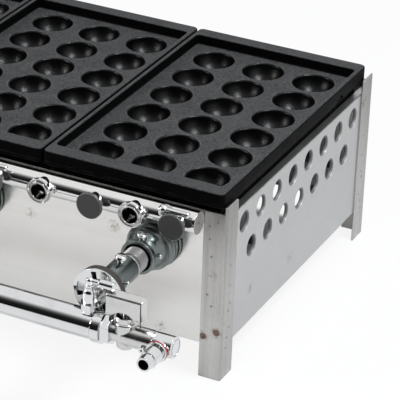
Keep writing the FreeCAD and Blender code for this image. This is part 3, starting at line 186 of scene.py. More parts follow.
class Effects:
    """The shared effects, each a node group that is built once and placed in many materials."""

    def __init__(self) -> None:
        """Builds the groups."""
        for build in (self.edge_wear, self.cast_grain, self.brushed_lines, self.smudges, self.specks):
            build()

    @staticmethod
    def start(name: str, **numbers: float) -> tuple[NodeBoard, Sockets]:
        """Makes an empty group with its inputs.

        Args:
            name: The group's name.
            numbers: The inputs' usual values, by name with _ for a space.

        Returns:
            The group's board, and its inputs as sockets to read.
        """
        tree = bpy.data.node_groups.new(name, "ShaderNodeTree")
        for label, value in numbers.items():
            socket = tree.interface.new_socket(
                name=label.replace("_", " "), in_out="INPUT", socket_type="NodeSocketFloat")
            socket.default_value = value
        board = NodeBoard(tree)
        return board, board.add("NodeGroupInput").outputs

    @staticmethod
    def give(board: NodeBoard, **results: Socket) -> Tree:
        """Makes the group's outputs and feeds them.

        Args:
            board: The group's board.
            results: What the group puts out, by name.

        Returns:
            The finished group.
        """
        for label in results:
            kind = "NodeSocketVector" if label == "Normal" else "NodeSocketFloat"
            board.tree.interface.new_socket(name=label, in_out="OUTPUT", socket_type=kind)
        board.add("NodeGroupOutput", results)
        return board.tree

    def edge_wear(self) -> None:
        """Builds a mask of edges, which the finishes paint pale as wear and as a painted highlight, and
        the softened normal that goes with it.
        """
        board, given = self.start("edge wear", Radius=0.001, Amount=1.0, Patchiness=300.0)
        bevel = board.add("Bevel", {"Radius": given["Radius"]}, samples=4).outputs["Normal"]
        plain = board.add("NewGeometry").outputs["Normal"]
        turn = board.add("VectorMath", {0: bevel, 1: plain}, operation="DOT_PRODUCT").outputs["Value"]
        patches = board.step(board.noise(given["Patchiness"]), 0.3, 0.6)
        worn = board.times(board.step(turn, 0.995, 0.86), patches)
        self.edge = self.give(board, Mask=board.times(worn, given["Amount"], clamp=True), Normal=bevel)

    def cast_grain(self) -> None:
        """Builds the small bumps of cast iron, and a softer unevenness under them."""
        board, given = self.start("cast grain", Scale=1500.0, Unevenness=90.0)
        fine = board.noise(given["Scale"], 4.0, 0.6)
        broad = board.noise(given["Unevenness"], 2.0, 0.5)
        height = board.math("ADD", fine, board.times(broad, 0.8))
        self.grain = self.give(board, Height=height, Mask=board.step(fine, 0.35, 0.65))

    def brushed_lines(self) -> None:
        """Builds fine lines that run one way, from noise that is stretched along them."""
        board, given = self.start("brushed lines", Across_X=60.0, Across_Y=60.0, Across_Z=4000.0)
        scale = board.add("CombineXYZ", {axis: given["Across " + axis] for axis in "XYZ"}).outputs[0]
        stretched = board.add("VectorMath", {0: board.place(), 1: scale}, operation="MULTIPLY")
        lines = board.noise(1.0, 2.0, 0.6, stretched.outputs["Vector"])
        self.brush = self.give(board, Value=board.step(lines, 0.25, 0.75))

    def smudges(self) -> None:
        """Builds soft uneven patches, such as handling leaves on polished sheet."""
        board, given = self.start("smudges", Scale=14.0, Spread=0.5)
        cloud = board.noise(given["Scale"], 5.0, 0.6)
        start = board.math("SUBTRACT", 0.85, given["Spread"])
        self.smudge = self.give(board, Mask=board.step(cloud, start, 0.85))

    def specks(self) -> None:
        """Builds small scattered spots, for dust, pits and spatter."""
        board, given = self.start("specks", Scale=400.0, Size=0.12)
        cells = board.add("TexVoronoi", {"Vector": board.place(), "Scale": given["Scale"]}, feature="F1")
        inside = board.math("LESS_THAN", cells.outputs["Distance"], given["Size"])
        chosen = board.step(board.noise(board.times(given["Scale"], 0.3), 1.0), 0.5, 0.62)
        self.speck = self.give(board, Mask=board.times(inside, chosen))


class Surface(NodeBoard):
    """One material being wired, with its Principled shader and the shared effects at hand."""

    def __init__(self, name: str, effects: Effects | None = None) -> None:
        """Makes the material and its shader.

        Args:
            name: The material's name.
            effects: The shared node groups, if it uses them.
        """
        self.material = bpy.data.materials.new(name)
        self.material.use_nodes = True
        super().__init__(self.material.node_tree)
        self.effects = effects
        self.shader = self.tree.nodes["Principled BSDF"]

    def effect(self, group: Tree, **values: float) -> Sockets:
        """Places a shared effect with this material's own values, by name with _ for a space."""
        sockets = {label.replace("_", " "): value for label, value in values.items()}
        return self.add("Group", sockets, node_tree=group).outputs

    def edge(self, radius: float, amount: float, patchiness: float) -> Sockets:
        """Places the edge mask, for wear and a painted highlight, and a normal."""
        return self.effect(self.effects.edge, Radius=radius, Amount=amount, Patchiness=patchiness)

    def grain(self, scale: float, unevenness: float) -> Sockets:
        """Places the cast grain, a height and a mask."""
        return self.effect(self.effects.grain, Scale=scale, Unevenness=unevenness)

    def lines(self, across: tuple) -> Socket:
        """Places the brushed lines, with their scale along each axis."""
        scales = {"Across_" + axis: scale for axis, scale in zip("XYZ", across)}
        return self.effect(self.effects.brush, **scales)["Value"]

    def smudge(self, scale: float, spread: float) -> Socket:
        """Places the smudges."""
        return self.effect(self.effects.smudge, Scale=scale, Spread=spread)["Mask"]

    def specks(self, scale: float, size: float) -> Socket:
        """Places the specks."""
        return self.effect(self.effects.speck, Scale=scale, Size=size)["Mask"]

    def wire(self, **sockets: object) -> None:
        """Feeds the shader's sockets, by name with _ for a space."""
        for label, value in sockets.items():
            self.feed(self.shader.inputs[label.replace("_", " ")], value)


@dataclass(frozen=True)
class Finish:
    """A finish, on the board of its own material."""

    board: Surface

    def coat(self) -> None:
        """Wires the finish's nodes, which each kind of finish does its own way."""
        raise NotImplementedError

    def made(self) -> Material:
        """Wires the finish, and gives its material."""
        self.coat()
        return self.board.material


@dataclass(frozen=True)
class SheetSteel(Finish):
    """Stainless sheet with a satin face: fine lines one way, handling marks, painted shade that darkens
    the top and the faces turned to the sides, and pale edges that are wear with a painted highlight.
    """

    colour: tuple
    shade: tuple
    rough: float
    across: tuple = (25.0, 25.0, 1600.0)
    streaks: float = 0.04
    stain: float = 0.35
    bands: float = 0.15
    band_scale: float = 0.06
    band_shift: tuple = (0.0, 0.0, 3.0)
    # Pale colour of the edges: wear with a painted highlight.
    edge_colour: tuple = grey(0.78, 0.02)
    spots: tuple = ()
    spot_colour: tuple = (0.20, 0.15, 0.11, 1.0)
    # Painted shade: faces turned to the sides, and the sheet toward its top between the low and high
    # heights, are turned toward the shade colour below.
    dull_sides: float = 0.0
    soot: float = 0.0
    soot_low: float = 70.0 * MM
    soot_high: float = 185.0 * MM
    soot_colour: tuple = (0.16, 0.152, 0.14, 1.0)

    def coat(self) -> None:
        """Wires the sheet's nodes."""
        board = self.board
        lines = board.lines(self.across)
        coarse = (scale * self.band_scale + shift for scale, shift in zip(self.across, self.band_shift))
        broad = board.lines(tuple(coarse))
        edge = board.edge(radius=0.0012, amount=0.6, patchiness=120.0)
        # Painted shade masks: one by height, darker toward the top, and one by how far the face turns to
        # a side.
        smoked = board.step(board.axes()["Z"], self.soot_low, self.soot_high)
        sideways = board.step(board.math("ABSOLUTE", board.axes("Normal")["X"]), 0.5, 0.9)
        colour = board.tint(self.colour, board.smudge(scale=11.0, spread=0.45), self.stain, self.shade)
        colour = board.tint(colour, broad, self.bands, self.shade)
        # Painted shade: the colour darkens toward the top and on faces turned to the sides.
        colour = board.tint(colour, smoked, self.soot, self.soot_colour)
        colour = board.tint(colour, sideways, self.dull_sides, self.soot_colour)
        colour = board.tint(colour, lines, self.streaks, grey(0.36))
        colour = board.tint(colour, board.specks(scale=330.0, size=0.13), 0.35, grey(0.22, 0.08))
        # Painted highlight and wear: edges are turned toward the pale edge colour.
        colour = board.blend(edge["Mask"], self.spotted(colour), self.edge_colour)
        fine = board.times(board.smudge(scale=70.0, spread=0.4), 0.06)
        rough = board.math("ADD", board.span(lines, self.rough, self.rough + self.streaks), fine)
        normal = board.bump(lines, self.streaks * 0.00008, edge["Normal"])
        board.wire(Base_Color=colour, Metallic=1.0, Roughness=rough, Normal=normal)

    def spotted(self, colour: Socket) -> Socket:
        """Adds the stains that lie at known places.

        Args:
            colour: The colour without them.

        Returns:
            The colour with them.
        """
        board = self.board
        frayed = board.times(board.step(board.noise(260.0, 4.0, 0.7), 0.42, 0.62), 1.5)
        for x, y, z, radius, strength in self.spots:
            ends = {0: board.place(), 1: (x * MM, y * MM, z * MM)}
            away = board.add("VectorMath", ends, operation="DISTANCE").outputs["Value"]
            near = board.step(away, radius * MM, radius * MM * 0.2)
            mask = board.times(board.times(near, frayed), strength, clamp=True)
            colour = board.blend(mask, colour, self.spot_colour)
        return colour


@dataclass(frozen=True)
class BrightMetal(Finish):
    """A polished or plated metal that mirrors the room, with faint marks and thin edges painted pale as
    wear and as a painted highlight.
    """

    colour: tuple
    shade: tuple
    rough: float
    marks: float = 0.10
    wave: float = 0.00002
    wave_scale: float = 60.0
    edge_radius: float = 0.0004

    def coat(self) -> None:
        """Wires the bright metal's nodes."""
        board = self.board
        cloud = board.smudge(scale=45.0, spread=0.4)
        fine = board.smudge(scale=420.0, spread=0.35)
        edge = board.edge(radius=self.edge_radius, amount=0.8, patchiness=500.0)
        colour = board.tint(self.colour, cloud, 0.5, self.shade)
        # Painted highlight and wear: edges turned toward pale grey.
        colour = board.tint(colour, edge["Mask"], 0.5, grey(0.9))
        rough = board.math("ADD", self.rough, board.times(cloud, self.marks))
        rough = board.math("ADD", rough, board.times(fine, self.marks * 0.5))
        normal = board.bump(board.noise(self.wave_scale, 2.0, 0.5), self.wave, edge["Normal"])
        board.wire(Base_Color=colour, Metallic=1.0, Roughness=rough, Normal=normal)


@dataclass(frozen=True)
class ZincPlate(Finish):
    """Bluish zinc on the mixer's castings: cloudy, half bright, with darker grain and patches, and rims
    painted pale as wear and as a painted highlight.
    """

    colour: tuple = (0.165, 0.188, 0.185, 1.0)
    dark: tuple = (0.095, 0.112, 0.112, 1.0)
    # Pale rim colour: wear with a painted highlight.
    rim: tuple = (0.42, 0.43, 0.41, 1.0)

    def coat(self) -> None:
        """Wires the zinc's nodes."""
        board = self.board
        cloud = board.smudge(scale=38.0, spread=0.55)
        grain = board.grain(scale=1400.0, unevenness=140.0)
        edge = board.edge(radius=0.0007, amount=0.9, patchiness=260.0)
        colour = board.tint(self.colour, cloud, 0.25, self.dark)
        colour = board.tint(colour, grain["Mask"], 0.12, self.dark)
        # Painted highlight and wear: edges turned toward the pale rim colour.
        colour = board.blend(edge["Mask"], colour, self.rim)
        normal = board.bump(grain["Height"], 0.00003, edge["Normal"])
        rough = board.span(cloud, 0.22, 0.28)
        board.wire(Base_Color=colour, Metallic=1.0, Roughness=rough, Normal=normal)


@dataclass(frozen=True)
class PlateIron(Finish):
    """Seasoned cast iron: a grainy satin floor and rim, grey as the iron's own face and as a painted
    sheen, oily black pockets, and near-black sides and walls that are partly painted shade.
    """

    low: Vector
    high: Vector
    floor_height: float
    unit_pitch: float
    # The floor's grey holds a painted sheen over the iron's own colour.
    face: tuple = (0.080, 0.081, 0.083, 1.0)
    face_dark: tuple = (0.012, 0.013, 0.015, 1.0)
    pocket: tuple = (0.0006, 0.0007, 0.0008, 1.0)
    # Near black: the sides' own dark iron with painted shade.
    side: tuple = (0.0010, 0.0011, 0.0010, 1.0)
    # Pale grey of the brims and edges: wear with a painted highlight.
    worn: tuple = (0.20, 0.20, 0.205, 1.0)
    gloss: float = 0.03
    oil_gloss: float = 0.5
    oil_rough: float = 0.25
    wall: float = 9.0 * MM

    def inside(self, x: Socket, y: Socket) -> Socket:
        """A mask that is 1 within the side walls of whichever plate the point lies on.

        Args:
            x: The point's place across.
            y: The point's place along.

        Returns:
            The socket that gives the mask.
        """
        board = self.board
        between = board.math("SUBTRACT", x, (self.low.x + self.high.x) / 2 - self.unit_pitch / 2)
        from_gap = board.math("PINGPONG", between, self.unit_pitch / 2)
        gap = (self.unit_pitch - (self.high.x - self.low.x)) / 2
        near = self.wall * 0.7
        across = board.step(from_gap, gap + near, gap + self.wall)
        front = board.step(y, self.low.y + near, self.low.y + self.wall)
        back = board.step(y, self.high.y - near, self.high.y - self.wall)
        return board.times(across, board.times(front, back))

    def below(self, height: Socket, start: float, end: float) -> Socket:
        """A mask that rises between two depths below the plate's floor, in millimetres."""
        return self.board.step(height, self.floor_height - start * MM, self.floor_height - end * MM)

    def coat(self) -> None:
        """Wires the iron's nodes, with masks from the place and the face's own direction."""
        board = self.board
        point = board.axes()
        height = point["Z"]
        level = self.below(height, 0.30, 0.10)
        # Up-facing faces at the floor's level take the grey face colour, all walls and sides the
        # near-black one: the iron's own finish with a painted sheen on top and painted shade on the
        # walls.
        ground = board.times(level, board.step(board.axes("Normal")["Z"], 0.55, 0.93))
        oily = board.times(self.inside(point["X"], point["Y"]), board.math("SUBTRACT", 1.0, level))
        # A band just below the floor's level at each pocket's mouth, painted pale in noisy patches: wear
        # with a painted highlight line.
        brim = board.times(self.below(height, 0.22, 0.12), self.below(height, 0.01, 0.05))
        grain = board.grain(scale=1300.0, unevenness=75.0)
        sand = board.grain(scale=620.0, unevenness=180.0)
        mottle = board.step(board.noise(700.0, 2.0, 0.7), 0.38, 0.62)
        cloud = board.smudge(scale=28.0, spread=0.5)
        edge = board.edge(radius=0.0011, amount=0.8, patchiness=210.0)
        face = board.tint(self.face, mottle, 0.8, self.face_dark)
        face = board.tint(face, cloud, 0.3, self.face_dark)
        face = board.tint(face, grain["Mask"], 0.14, grey(0.11))
        hollow = board.blend(oily, self.side, self.pocket)
        hollow = board.tint(hollow, board.specks(scale=520.0, size=0.14), 0.35, grey(0.03))
        colour = board.blend(ground, hollow, face)
        # Painted highlight and wear: the brim band is turned pale in patches.
        rubbed = board.times(brim, board.step(board.noise(90.0), 0.35, 0.65))
        colour = board.tint(colour, rubbed, 0.4, self.worn)
        # Painted highlight and wear: edges turned toward a lighter grey.
        colour = board.tint(colour, edge["Mask"], 0.6, grey(0.10))
        heights = {0: level, 2: sand["Height"], 3: grain["Height"]}
        relief = board.add("Mix", heights, data_type="FLOAT").outputs[0]
        oil = board.times(oily, board.span(mottle, self.oil_gloss, self.oil_gloss * 0.5))
        normal = board.bump(relief, 0.00020, edge["Normal"])
        board.wire(
            Base_Color=colour, Roughness=board.span(cloud, 0.50, 0.62), Specular_IOR_Level=self.gloss,
            Normal=normal, Coat_Weight=oil, Coat_Roughness=self.oil_rough,
            Coat_Normal=board.bump(mottle, 0.00005))


@dataclass(frozen=True)
class DarkIron(Finish):
    """Plain cast iron dulled by heat, with patches of rust, and a turned front if it has one."""

    rusty: float
    rough: float
    metal: float
    colour: tuple = (0.055, 0.050, 0.046, 1.0)
    rust: tuple = (0.13, 0.075, 0.045, 1.0)
    turned_front: bool = False

    def coat(self) -> None:
        """Wires the dark iron's nodes."""
        board = self.board
        grain = board.grain(scale=900.0, unevenness=120.0)
        edge = board.edge(radius=0.0007, amount=0.9, patchiness=240.0)
        colour = board.tint(self.colour, board.smudge(scale=60.0, spread=0.4), self.rusty, self.rust)
        # Painted highlight and wear: edges turned toward a pale grey.
        colour = board.tint(colour, edge["Mask"], 0.6, grey(0.34, 0.02))
        rough = board.span(grain["Mask"], self.rough - 0.08, self.rough + 0.08)
        metal = self.metal
        if self.turned_front:
            turned = board.step(board.axes("Normal")["Y"], -0.8, -0.95)
            colour = board.blend(turned, colour, grey(0.72))
            rough = board.span(turned, rough, 0.22)
            metal = board.span(turned, self.metal, 1.0)
        normal = board.bump(grain["Height"], 0.00008, edge["Normal"])
        board.wire(Base_Color=colour, Metallic=metal, Roughness=rough, Normal=normal)


@dataclass(frozen=True)
class CapSteel(Finish):
    """A pressed steel cap: a flat dark face with fine scratches, and a rolled edge painted pale as wear
    and as a painted highlight.
    """

    colour: tuple = (0.052, 0.052, 0.053, 1.0)
    edge_colour: tuple = (0.62, 0.62, 0.61, 1.0)

    def coat(self) -> None:
        """Wires the cap's nodes."""
        board = self.board
        lines = board.lines((2600.0, 60.0, 90.0))
        edge = board.edge(radius=0.0006, amount=1.0, patchiness=90.0)
        colour = board.tint(self.colour, board.smudge(scale=90.0, spread=0.5), 0.4, grey(0.034))
        colour = board.tint(colour, lines, 0.12, grey(0.10))
        # Painted highlight and wear: edges turned toward the pale edge colour.
        colour = board.blend(edge["Mask"], colour, self.edge_colour)
        metal = board.span(edge["Mask"], 0.35, 1.0)
        normal = board.bump(lines, 0.00001, edge["Normal"])
        rough = board.span(lines, 0.40, 0.50)
        board.wire(Base_Color=colour, Metallic=metal, Roughness=rough, Normal=normal)


@dataclass(frozen=True)
class Rubber(Finish):
    """A moulded seal in one soft colour, paler where it is stretched."""

    colour: tuple = (0.36, 0.012, 0.016, 1.0)
    pale: tuple = (0.50, 0.05, 0.05, 1.0)

    def coat(self) -> None:
        """Wires the rubber's nodes."""
        board = self.board
        grain = board.grain(scale=2600.0, unevenness=500.0)
        colour = board.tint(self.colour, board.smudge(scale=260.0, spread=0.5), 0.5, self.pale)
        rough = board.span(grain["Mask"], 0.42, 0.55)
        board.wire(Base_Color=colour, Roughness=rough, Normal=board.bump(grain["Height"], 0.00002))


@dataclass(frozen=True)
class WeldTint(Finish):
    """The heat colours of a spot weld: a bright pit in a straw and brown ring."""

    ring: tuple = (0.20, 0.145, 0.11, 1.0)
    pit: tuple = (0.46, 0.44, 0.42, 1.0)

    def coat(self) -> None:
        """Wires the tint's nodes."""
        board = self.board
        grain = board.grain(scale=2200.0, unevenness=420.0)
        colour = board.blend(board.smudge(scale=520.0, spread=0.6), self.ring, self.pit)
        rough = board.span(grain["Mask"], 0.34, 0.46)
        normal = board.bump(grain["Height"], 0.00003)
        board.wire(Base_Color=colour, Metallic=0.9, Roughness=rough, Normal=normal)


@dataclass(frozen=True)
class DarkGap(Finish):
    """The blackened face inside a seam or a hole."""

    dark: tuple = (0.012, 0.012, 0.012, 1.0)
    dusty: tuple = (0.035, 0.034, 0.032, 1.0)

    def coat(self) -> None:
        """Wires the dark face's nodes."""
        cloud = self.board.smudge(scale=300.0, spread=0.5)
        colour = self.board.blend(cloud, self.dark, self.dusty)
        self.board.wire(Base_Color=colour, Roughness=self.board.span(cloud, 0.5, 0.7))


@dataclass
class Palette:
    """Every finish of the cooker, wired once. Its faces and its stains are given in millimetres."""

    effects: Effects
    floor_height: float
    front_face: float = -86.75
    side_face: float = 275.75

    def __post_init__(self) -> None:
        """Wires the materials."""
        self.sheets()
        self.metals()
        self.irons()
        self.seal = Rubber(self.on("red hose seal")).made()
        self.weld = WeldTint(self.on("weld tint")).made()
        self.burn = WeldTint(
            self.on("deep weld tint"), ring=(0.10, 0.055, 0.04, 1.0), pit=(0.30, 0.24, 0.21, 1.0)).made()
        self.gap = DarkGap(self.on("dark seam")).made()

    def on(self, name: str) -> Surface:
        """Starts a material."""
        return Surface(name, self.effects)

    def sheets(self) -> None:
        """Wires the body's sheets, each stain as its place, its radius and its strength."""
        front, side = self.front_face, self.side_face
        panel_spots = ((161.3, front, 132.8, 9.0, 0.5), (73.6, front, 122.3, 8.0, 0.4),
                       (212.5, front, 40.1, 8.0, 0.5), (220.7, front, 111.3, 5.0, 0.3))
        side_spots = ((side, 67.1, 56.9, 8.0, 0.5), (side, -25.3, 68.1, 7.0, 0.5))
        leg_spots = ((side - 18.9, front, 43.4, 8.0, 0.55), (side - 5.9, front, 50.4, 8.0, 0.55),
                     (side - 12.2, front, 108.5, 7.0, 0.4), (side, 233.6, 156.4, 9.0, 0.7))
        self.panel = SheetSteel(
            self.on("satin front sheet"), colour=(0.73, 0.715, 0.695, 1.0), shade=grey(0.52, 0.03),
            rough=0.20, stain=0.22, spots=panel_spots).made()
        self.side = SheetSteel(
            self.on("satin side sheet"), colour=grey(0.505, -0.004), shade=grey(0.40, 0.01), rough=0.34,
            across=(25.0, 25.0, 900.0), spots=side_spots).made()
        # The legs carry painted shade, darker toward the top and on the faces turned to the sides.
        self.leg = SheetSteel(
            self.on("brushed leg sheet"), colour=grey(0.58, 0.02), shade=grey(0.20, 0.06), rough=0.25,
            across=(1800.0, 1800.0, 18.0), streaks=0.06, bands=0.4, soot=0.55, dull_sides=0.32,
            spots=leg_spots).made()
        self.vent = SheetSteel(
            self.on("dulled vent rim"), colour=grey(0.24), shade=grey(0.16, 0.02), rough=0.62,
            stain=0.5, edge_colour=grey(0.40)).made()

    def metals(self) -> None:
        """Wires the bright and plated metals."""
        self.tube = BrightMetal(
            self.on("polished tube"), colour=grey(0.74, 0.01), shade=grey(0.52, 0.02), rough=0.10,
            marks=0.08, wave=0.00006, wave_scale=35.0, edge_radius=0.0005).made()
        self.chrome = BrightMetal(
            self.on("bright chrome"), colour=grey(0.70, -0.01), shade=grey(0.46), rough=0.045,
            marks=0.08).made()
        self.nickel = BrightMetal(
            self.on("satin nickel valve"), colour=grey(0.60, 0.01), shade=grey(0.40, 0.01), rough=0.17,
            wave=0.00012, wave_scale=130.0, edge_radius=0.0006).made()
        self.pipe = BrightMetal(
            self.on("pickled pipe"), colour=grey(0.34), shade=grey(0.24, 0.02), rough=0.30, marks=0.14,
            wave=0.00005, wave_scale=300.0).made()
        self.ring = BrightMetal(
            self.on("bright ring"), colour=grey(0.84), shade=grey(0.66), rough=0.30).made()
        self.zinc = ZincPlate(self.on("zinc plated mixer")).made()

    def irons(self) -> None:
        """Wires the plates' iron, the drums', the burners' and the caps' steel."""
        low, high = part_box("cooking_plate_middle")
        pitch = middle("cooking_plate_right").x - middle("cooking_plate_middle").x
        self.plate = PlateIron(
            self.on("seasoned plate iron"), low, high, self.floor_height, pitch).made()
        self.drum = DarkIron(
            self.on("dulled drum iron"), colour=(0.060, 0.057, 0.052, 1.0), rusty=0.15, rough=0.42,
            metal=0.85, turned_front=True).made()
        self.burner = DarkIron(self.on("burner iron"), rusty=0.55, rough=0.66, metal=0.3).made()
        self.cap = CapSteel(self.on("pressed cap steel")).made()


# ---------------------------------------------------------------- modelling
class Bench:
    """The hand work on one new piece: primitives, edit mode, modifiers and the finishing steps."""

    @staticmethod
    def clear() -> None:
        """Leaves edit mode and deselects every object."""
        if bpy.context.object and bpy.context.object.mode != "OBJECT":
            bpy.ops.object.mode_set(mode="OBJECT")
        bpy.ops.object.select_all(action="DESELECT")

    @classmethod
    def pick(cls, parts: list) -> None:
        """Selects these objects alone, and makes the first the active one.

        Args:
            parts: The objects.
        """
        cls.clear()
        for part in parts:
            part.select_set(True)
        bpy.context.view_layer.objects.active = parts[0]

    @staticmethod
    def take(name: str) -> Piece:
        """Names the object that was just added.

        Args:
            name: Its name.

        Returns:
            The object.
        """
        piece = bpy.context.object
        piece.name = piece.data.name = name
        return piece

    @classmethod
    def rod(cls, name: str, centre: tuple, radius: float, length: float, axis: Axis = Axis.UP,
            sides: int = 32, fill: str = "NGON") -> Piece:
        """Adds a round or many-sided rod to start from.

        Args:
            name: The piece's name.
            centre: The middle of the rod.
            radius: Its radius to the corners.
            length: Its length along the axis.
            axis: The way it points.
            sides: The number of its sides.
            fill: How its ends are closed.

        Returns:
            The new object, the only one selected.
        """
        cls.clear()
        bpy.ops.mesh.primitive_cylinder_add(
            vertices=sides, radius=radius, depth=length, end_fill_type=fill, location=centre,
            rotation=axis.value)
        return cls.take(name)

    @classmethod
    def block(cls, name: str, centre: tuple, size: tuple) -> Piece:
        """Adds a block to start from.

        Args:
            name: The piece's name.
            centre: The middle of the block.
            size: Its width, its length and its height.

        Returns:
            The new object, the only one selected.
        """
        cls.clear()
        bpy.ops.mesh.primitive_cube_add(size=1.0, location=centre)
        piece = cls.take(name)
        piece.scale = size
        bpy.ops.object.transform_apply(location=False, rotation=False, scale=True)
        return piece

    @classmethod
    def outline(cls, name: str, corners: list) -> Piece:
        """Adds a ring of points to start from, and moves them to the corners of an outline.

        Args:
            name: The piece's name.
            corners: The corners, each as its radius and its height.

        Returns:
            The new object, at the origin and the only one selected.
        """
        cls.clear()
        bpy.ops.mesh.primitive_circle_add(vertices=len(corners), location=(0, 0, 0), calc_uvs=False)
        piece = cls.take(name)
        for vertex, (radius, height) in zip(piece.data.vertices, corners):
            vertex.co = (radius, 0.0, height)
        return piece

    @classmethod
    def turn(cls, name: str, profile: list, steps: int) -> Piece:
        """Turns a closed outline once round the upright axis.

        Args:
            name: The piece's name.
            profile: The outline's corners, each as its radius and its height.
            steps: The number of sides round the axis.

        Returns:
            The new object, at the origin.
        """
        piece = cls.outline(name, profile)
        bpy.ops.object.mode_set(mode="EDIT")
        bpy.ops.mesh.select_all(action="SELECT")
        bpy.ops.mesh.spin(steps=steps, angle=CIRCLE, center=(0, 0, 0), axis=(0, 0, 1))
        cls.weld(0.000005)
        return piece

    @staticmethod
    def weld(gap: float, outward: bool = True) -> None:
        """Joins the active mesh's points that lie together, and turns its faces outward.

        Args:
            gap: The widest gap that is closed.
            outward: Whether the faces are turned.
        """
        bpy.ops.object.mode_set(mode="EDIT")
        bpy.ops.mesh.select_all(action="SELECT")
        bpy.ops.mesh.remove_doubles(threshold=gap)
        if outward:
            bpy.ops.mesh.normals_make_consistent(inside=False)
        bpy.ops.object.mode_set(mode="OBJECT")

    @classmethod
    def modify(cls, piece: Piece, kind: str, **settings: object) -> None:
        """Adds a modifier and applies it.

        Args:
            piece: The object.
            kind: The modifier's type.
            settings: The modifier's properties.
        """
        cls.pick([piece])
        modifier = piece.modifiers.new(kind.lower(), kind)
        for name, value in settings.items():
            setattr(modifier, name, value)
        bpy.ops.object.modifier_apply(modifier=modifier.name)

    @classmethod
    def bevel(cls, piece: Piece, width: float, segments: int = 2, angle: float = 35.0) -> None:
        """Rounds the piece's sharp edges."""
        cls.modify(piece, "BEVEL", width=width, segments=segments, limit_method="ANGLE",
                   angle_limit=math.radians(angle), harden_normals=False)

    @classmethod
    def cut(cls, piece: Piece, tool: Piece) -> None:
        """Takes a tool's shape out of the piece, and throws the tool away."""
        cls.modify(piece, "BOOLEAN", operation="DIFFERENCE", object=tool, solver="EXACT")
        bpy.data.objects.remove(tool, do_unlink=True)

    @classmethod
    def join(cls, name: str, parts: list) -> Piece:
        """Makes one object of several.

        Args:
            name: The new name.
            parts: The objects, of which the first stays.

        Returns:
            The joined object.
        """
        cls.pick(parts)
        bpy.ops.object.join()
        return cls.take(name)

    @staticmethod
    def twin(piece: Piece, move: tuple) -> Piece:
        """Copies a piece with a mesh of its own.

        Args:
            piece: The object.
            move: The way from the piece to its copy.

        Returns:
            The copy.
        """
        copy = piece.copy()
        copy.data = piece.data.copy()
        copy.data.transform(Matrix.Translation(Vector(move)))
        bpy.context.scene.collection.objects.link(copy)
        copy.parent = None
        copy.matrix_world = Matrix.Identity(4)
        return copy

    @classmethod
    def repeat(cls, name: str, first: Piece, places: list) -> Piece:
        """Copies an unfinished shape from the origin to each of its places.

        Args:
            name: The new name.
            first: The shape, which is thrown away.
            places: The places of the copies.

        Returns:
            The copies as one object.
        """
        copies = [cls.twin(first, place) for place in places]
        bpy.data.objects.remove(first, do_unlink=True)
        return cls.join(name, copies)

    @classmethod
    def finish(cls, piece: Piece, material: Material, body: str, slot: Slot,
               smooth: float = 35.0) -> Piece:
        """Cleans the mesh, brings the object to the origin, and dresses it.

        Args:
            piece: The object.
            material: Its finish.
            body: The body that it moves with.
            slot: The record's material slot; not used.
            smooth: The largest angle that is shaded smooth, in degrees.

        Returns:
            The same object.
        """
        cls.pick([piece])
        bpy.ops.object.transform_apply(location=True, rotation=True, scale=True)
        cls.weld(0.00001)
        bpy.ops.object.shade_smooth_by_angle(angle=math.radians(smooth))
        piece.data.materials.clear()
        piece.data.materials.append(material)
        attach(piece, body)
        piece.select_set(False)
        return piece


def dress(material: Material, *names: str) -> None:
    """Gives carried-over nodes their finish.

    Args:
        material: The finish.
        names: The nodes' names, or beginnings of them that end with an underscore.
    """
    for label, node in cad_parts.items():
        if any(label == name or (name.endswith("_") and label.startswith(name)) for name in names):
            node.data.materials.clear()
            node.data.materials.append(material)


def middle(node: str) -> Vector:
    """The middle of a node's box."""
    low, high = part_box(node)
    return (low + high) / 2


def in_metres(profile: tuple) -> list:
    """An outline's corners in metres, from millimetres."""
    return [(radius * MM, height * MM) for radius, height in profile]


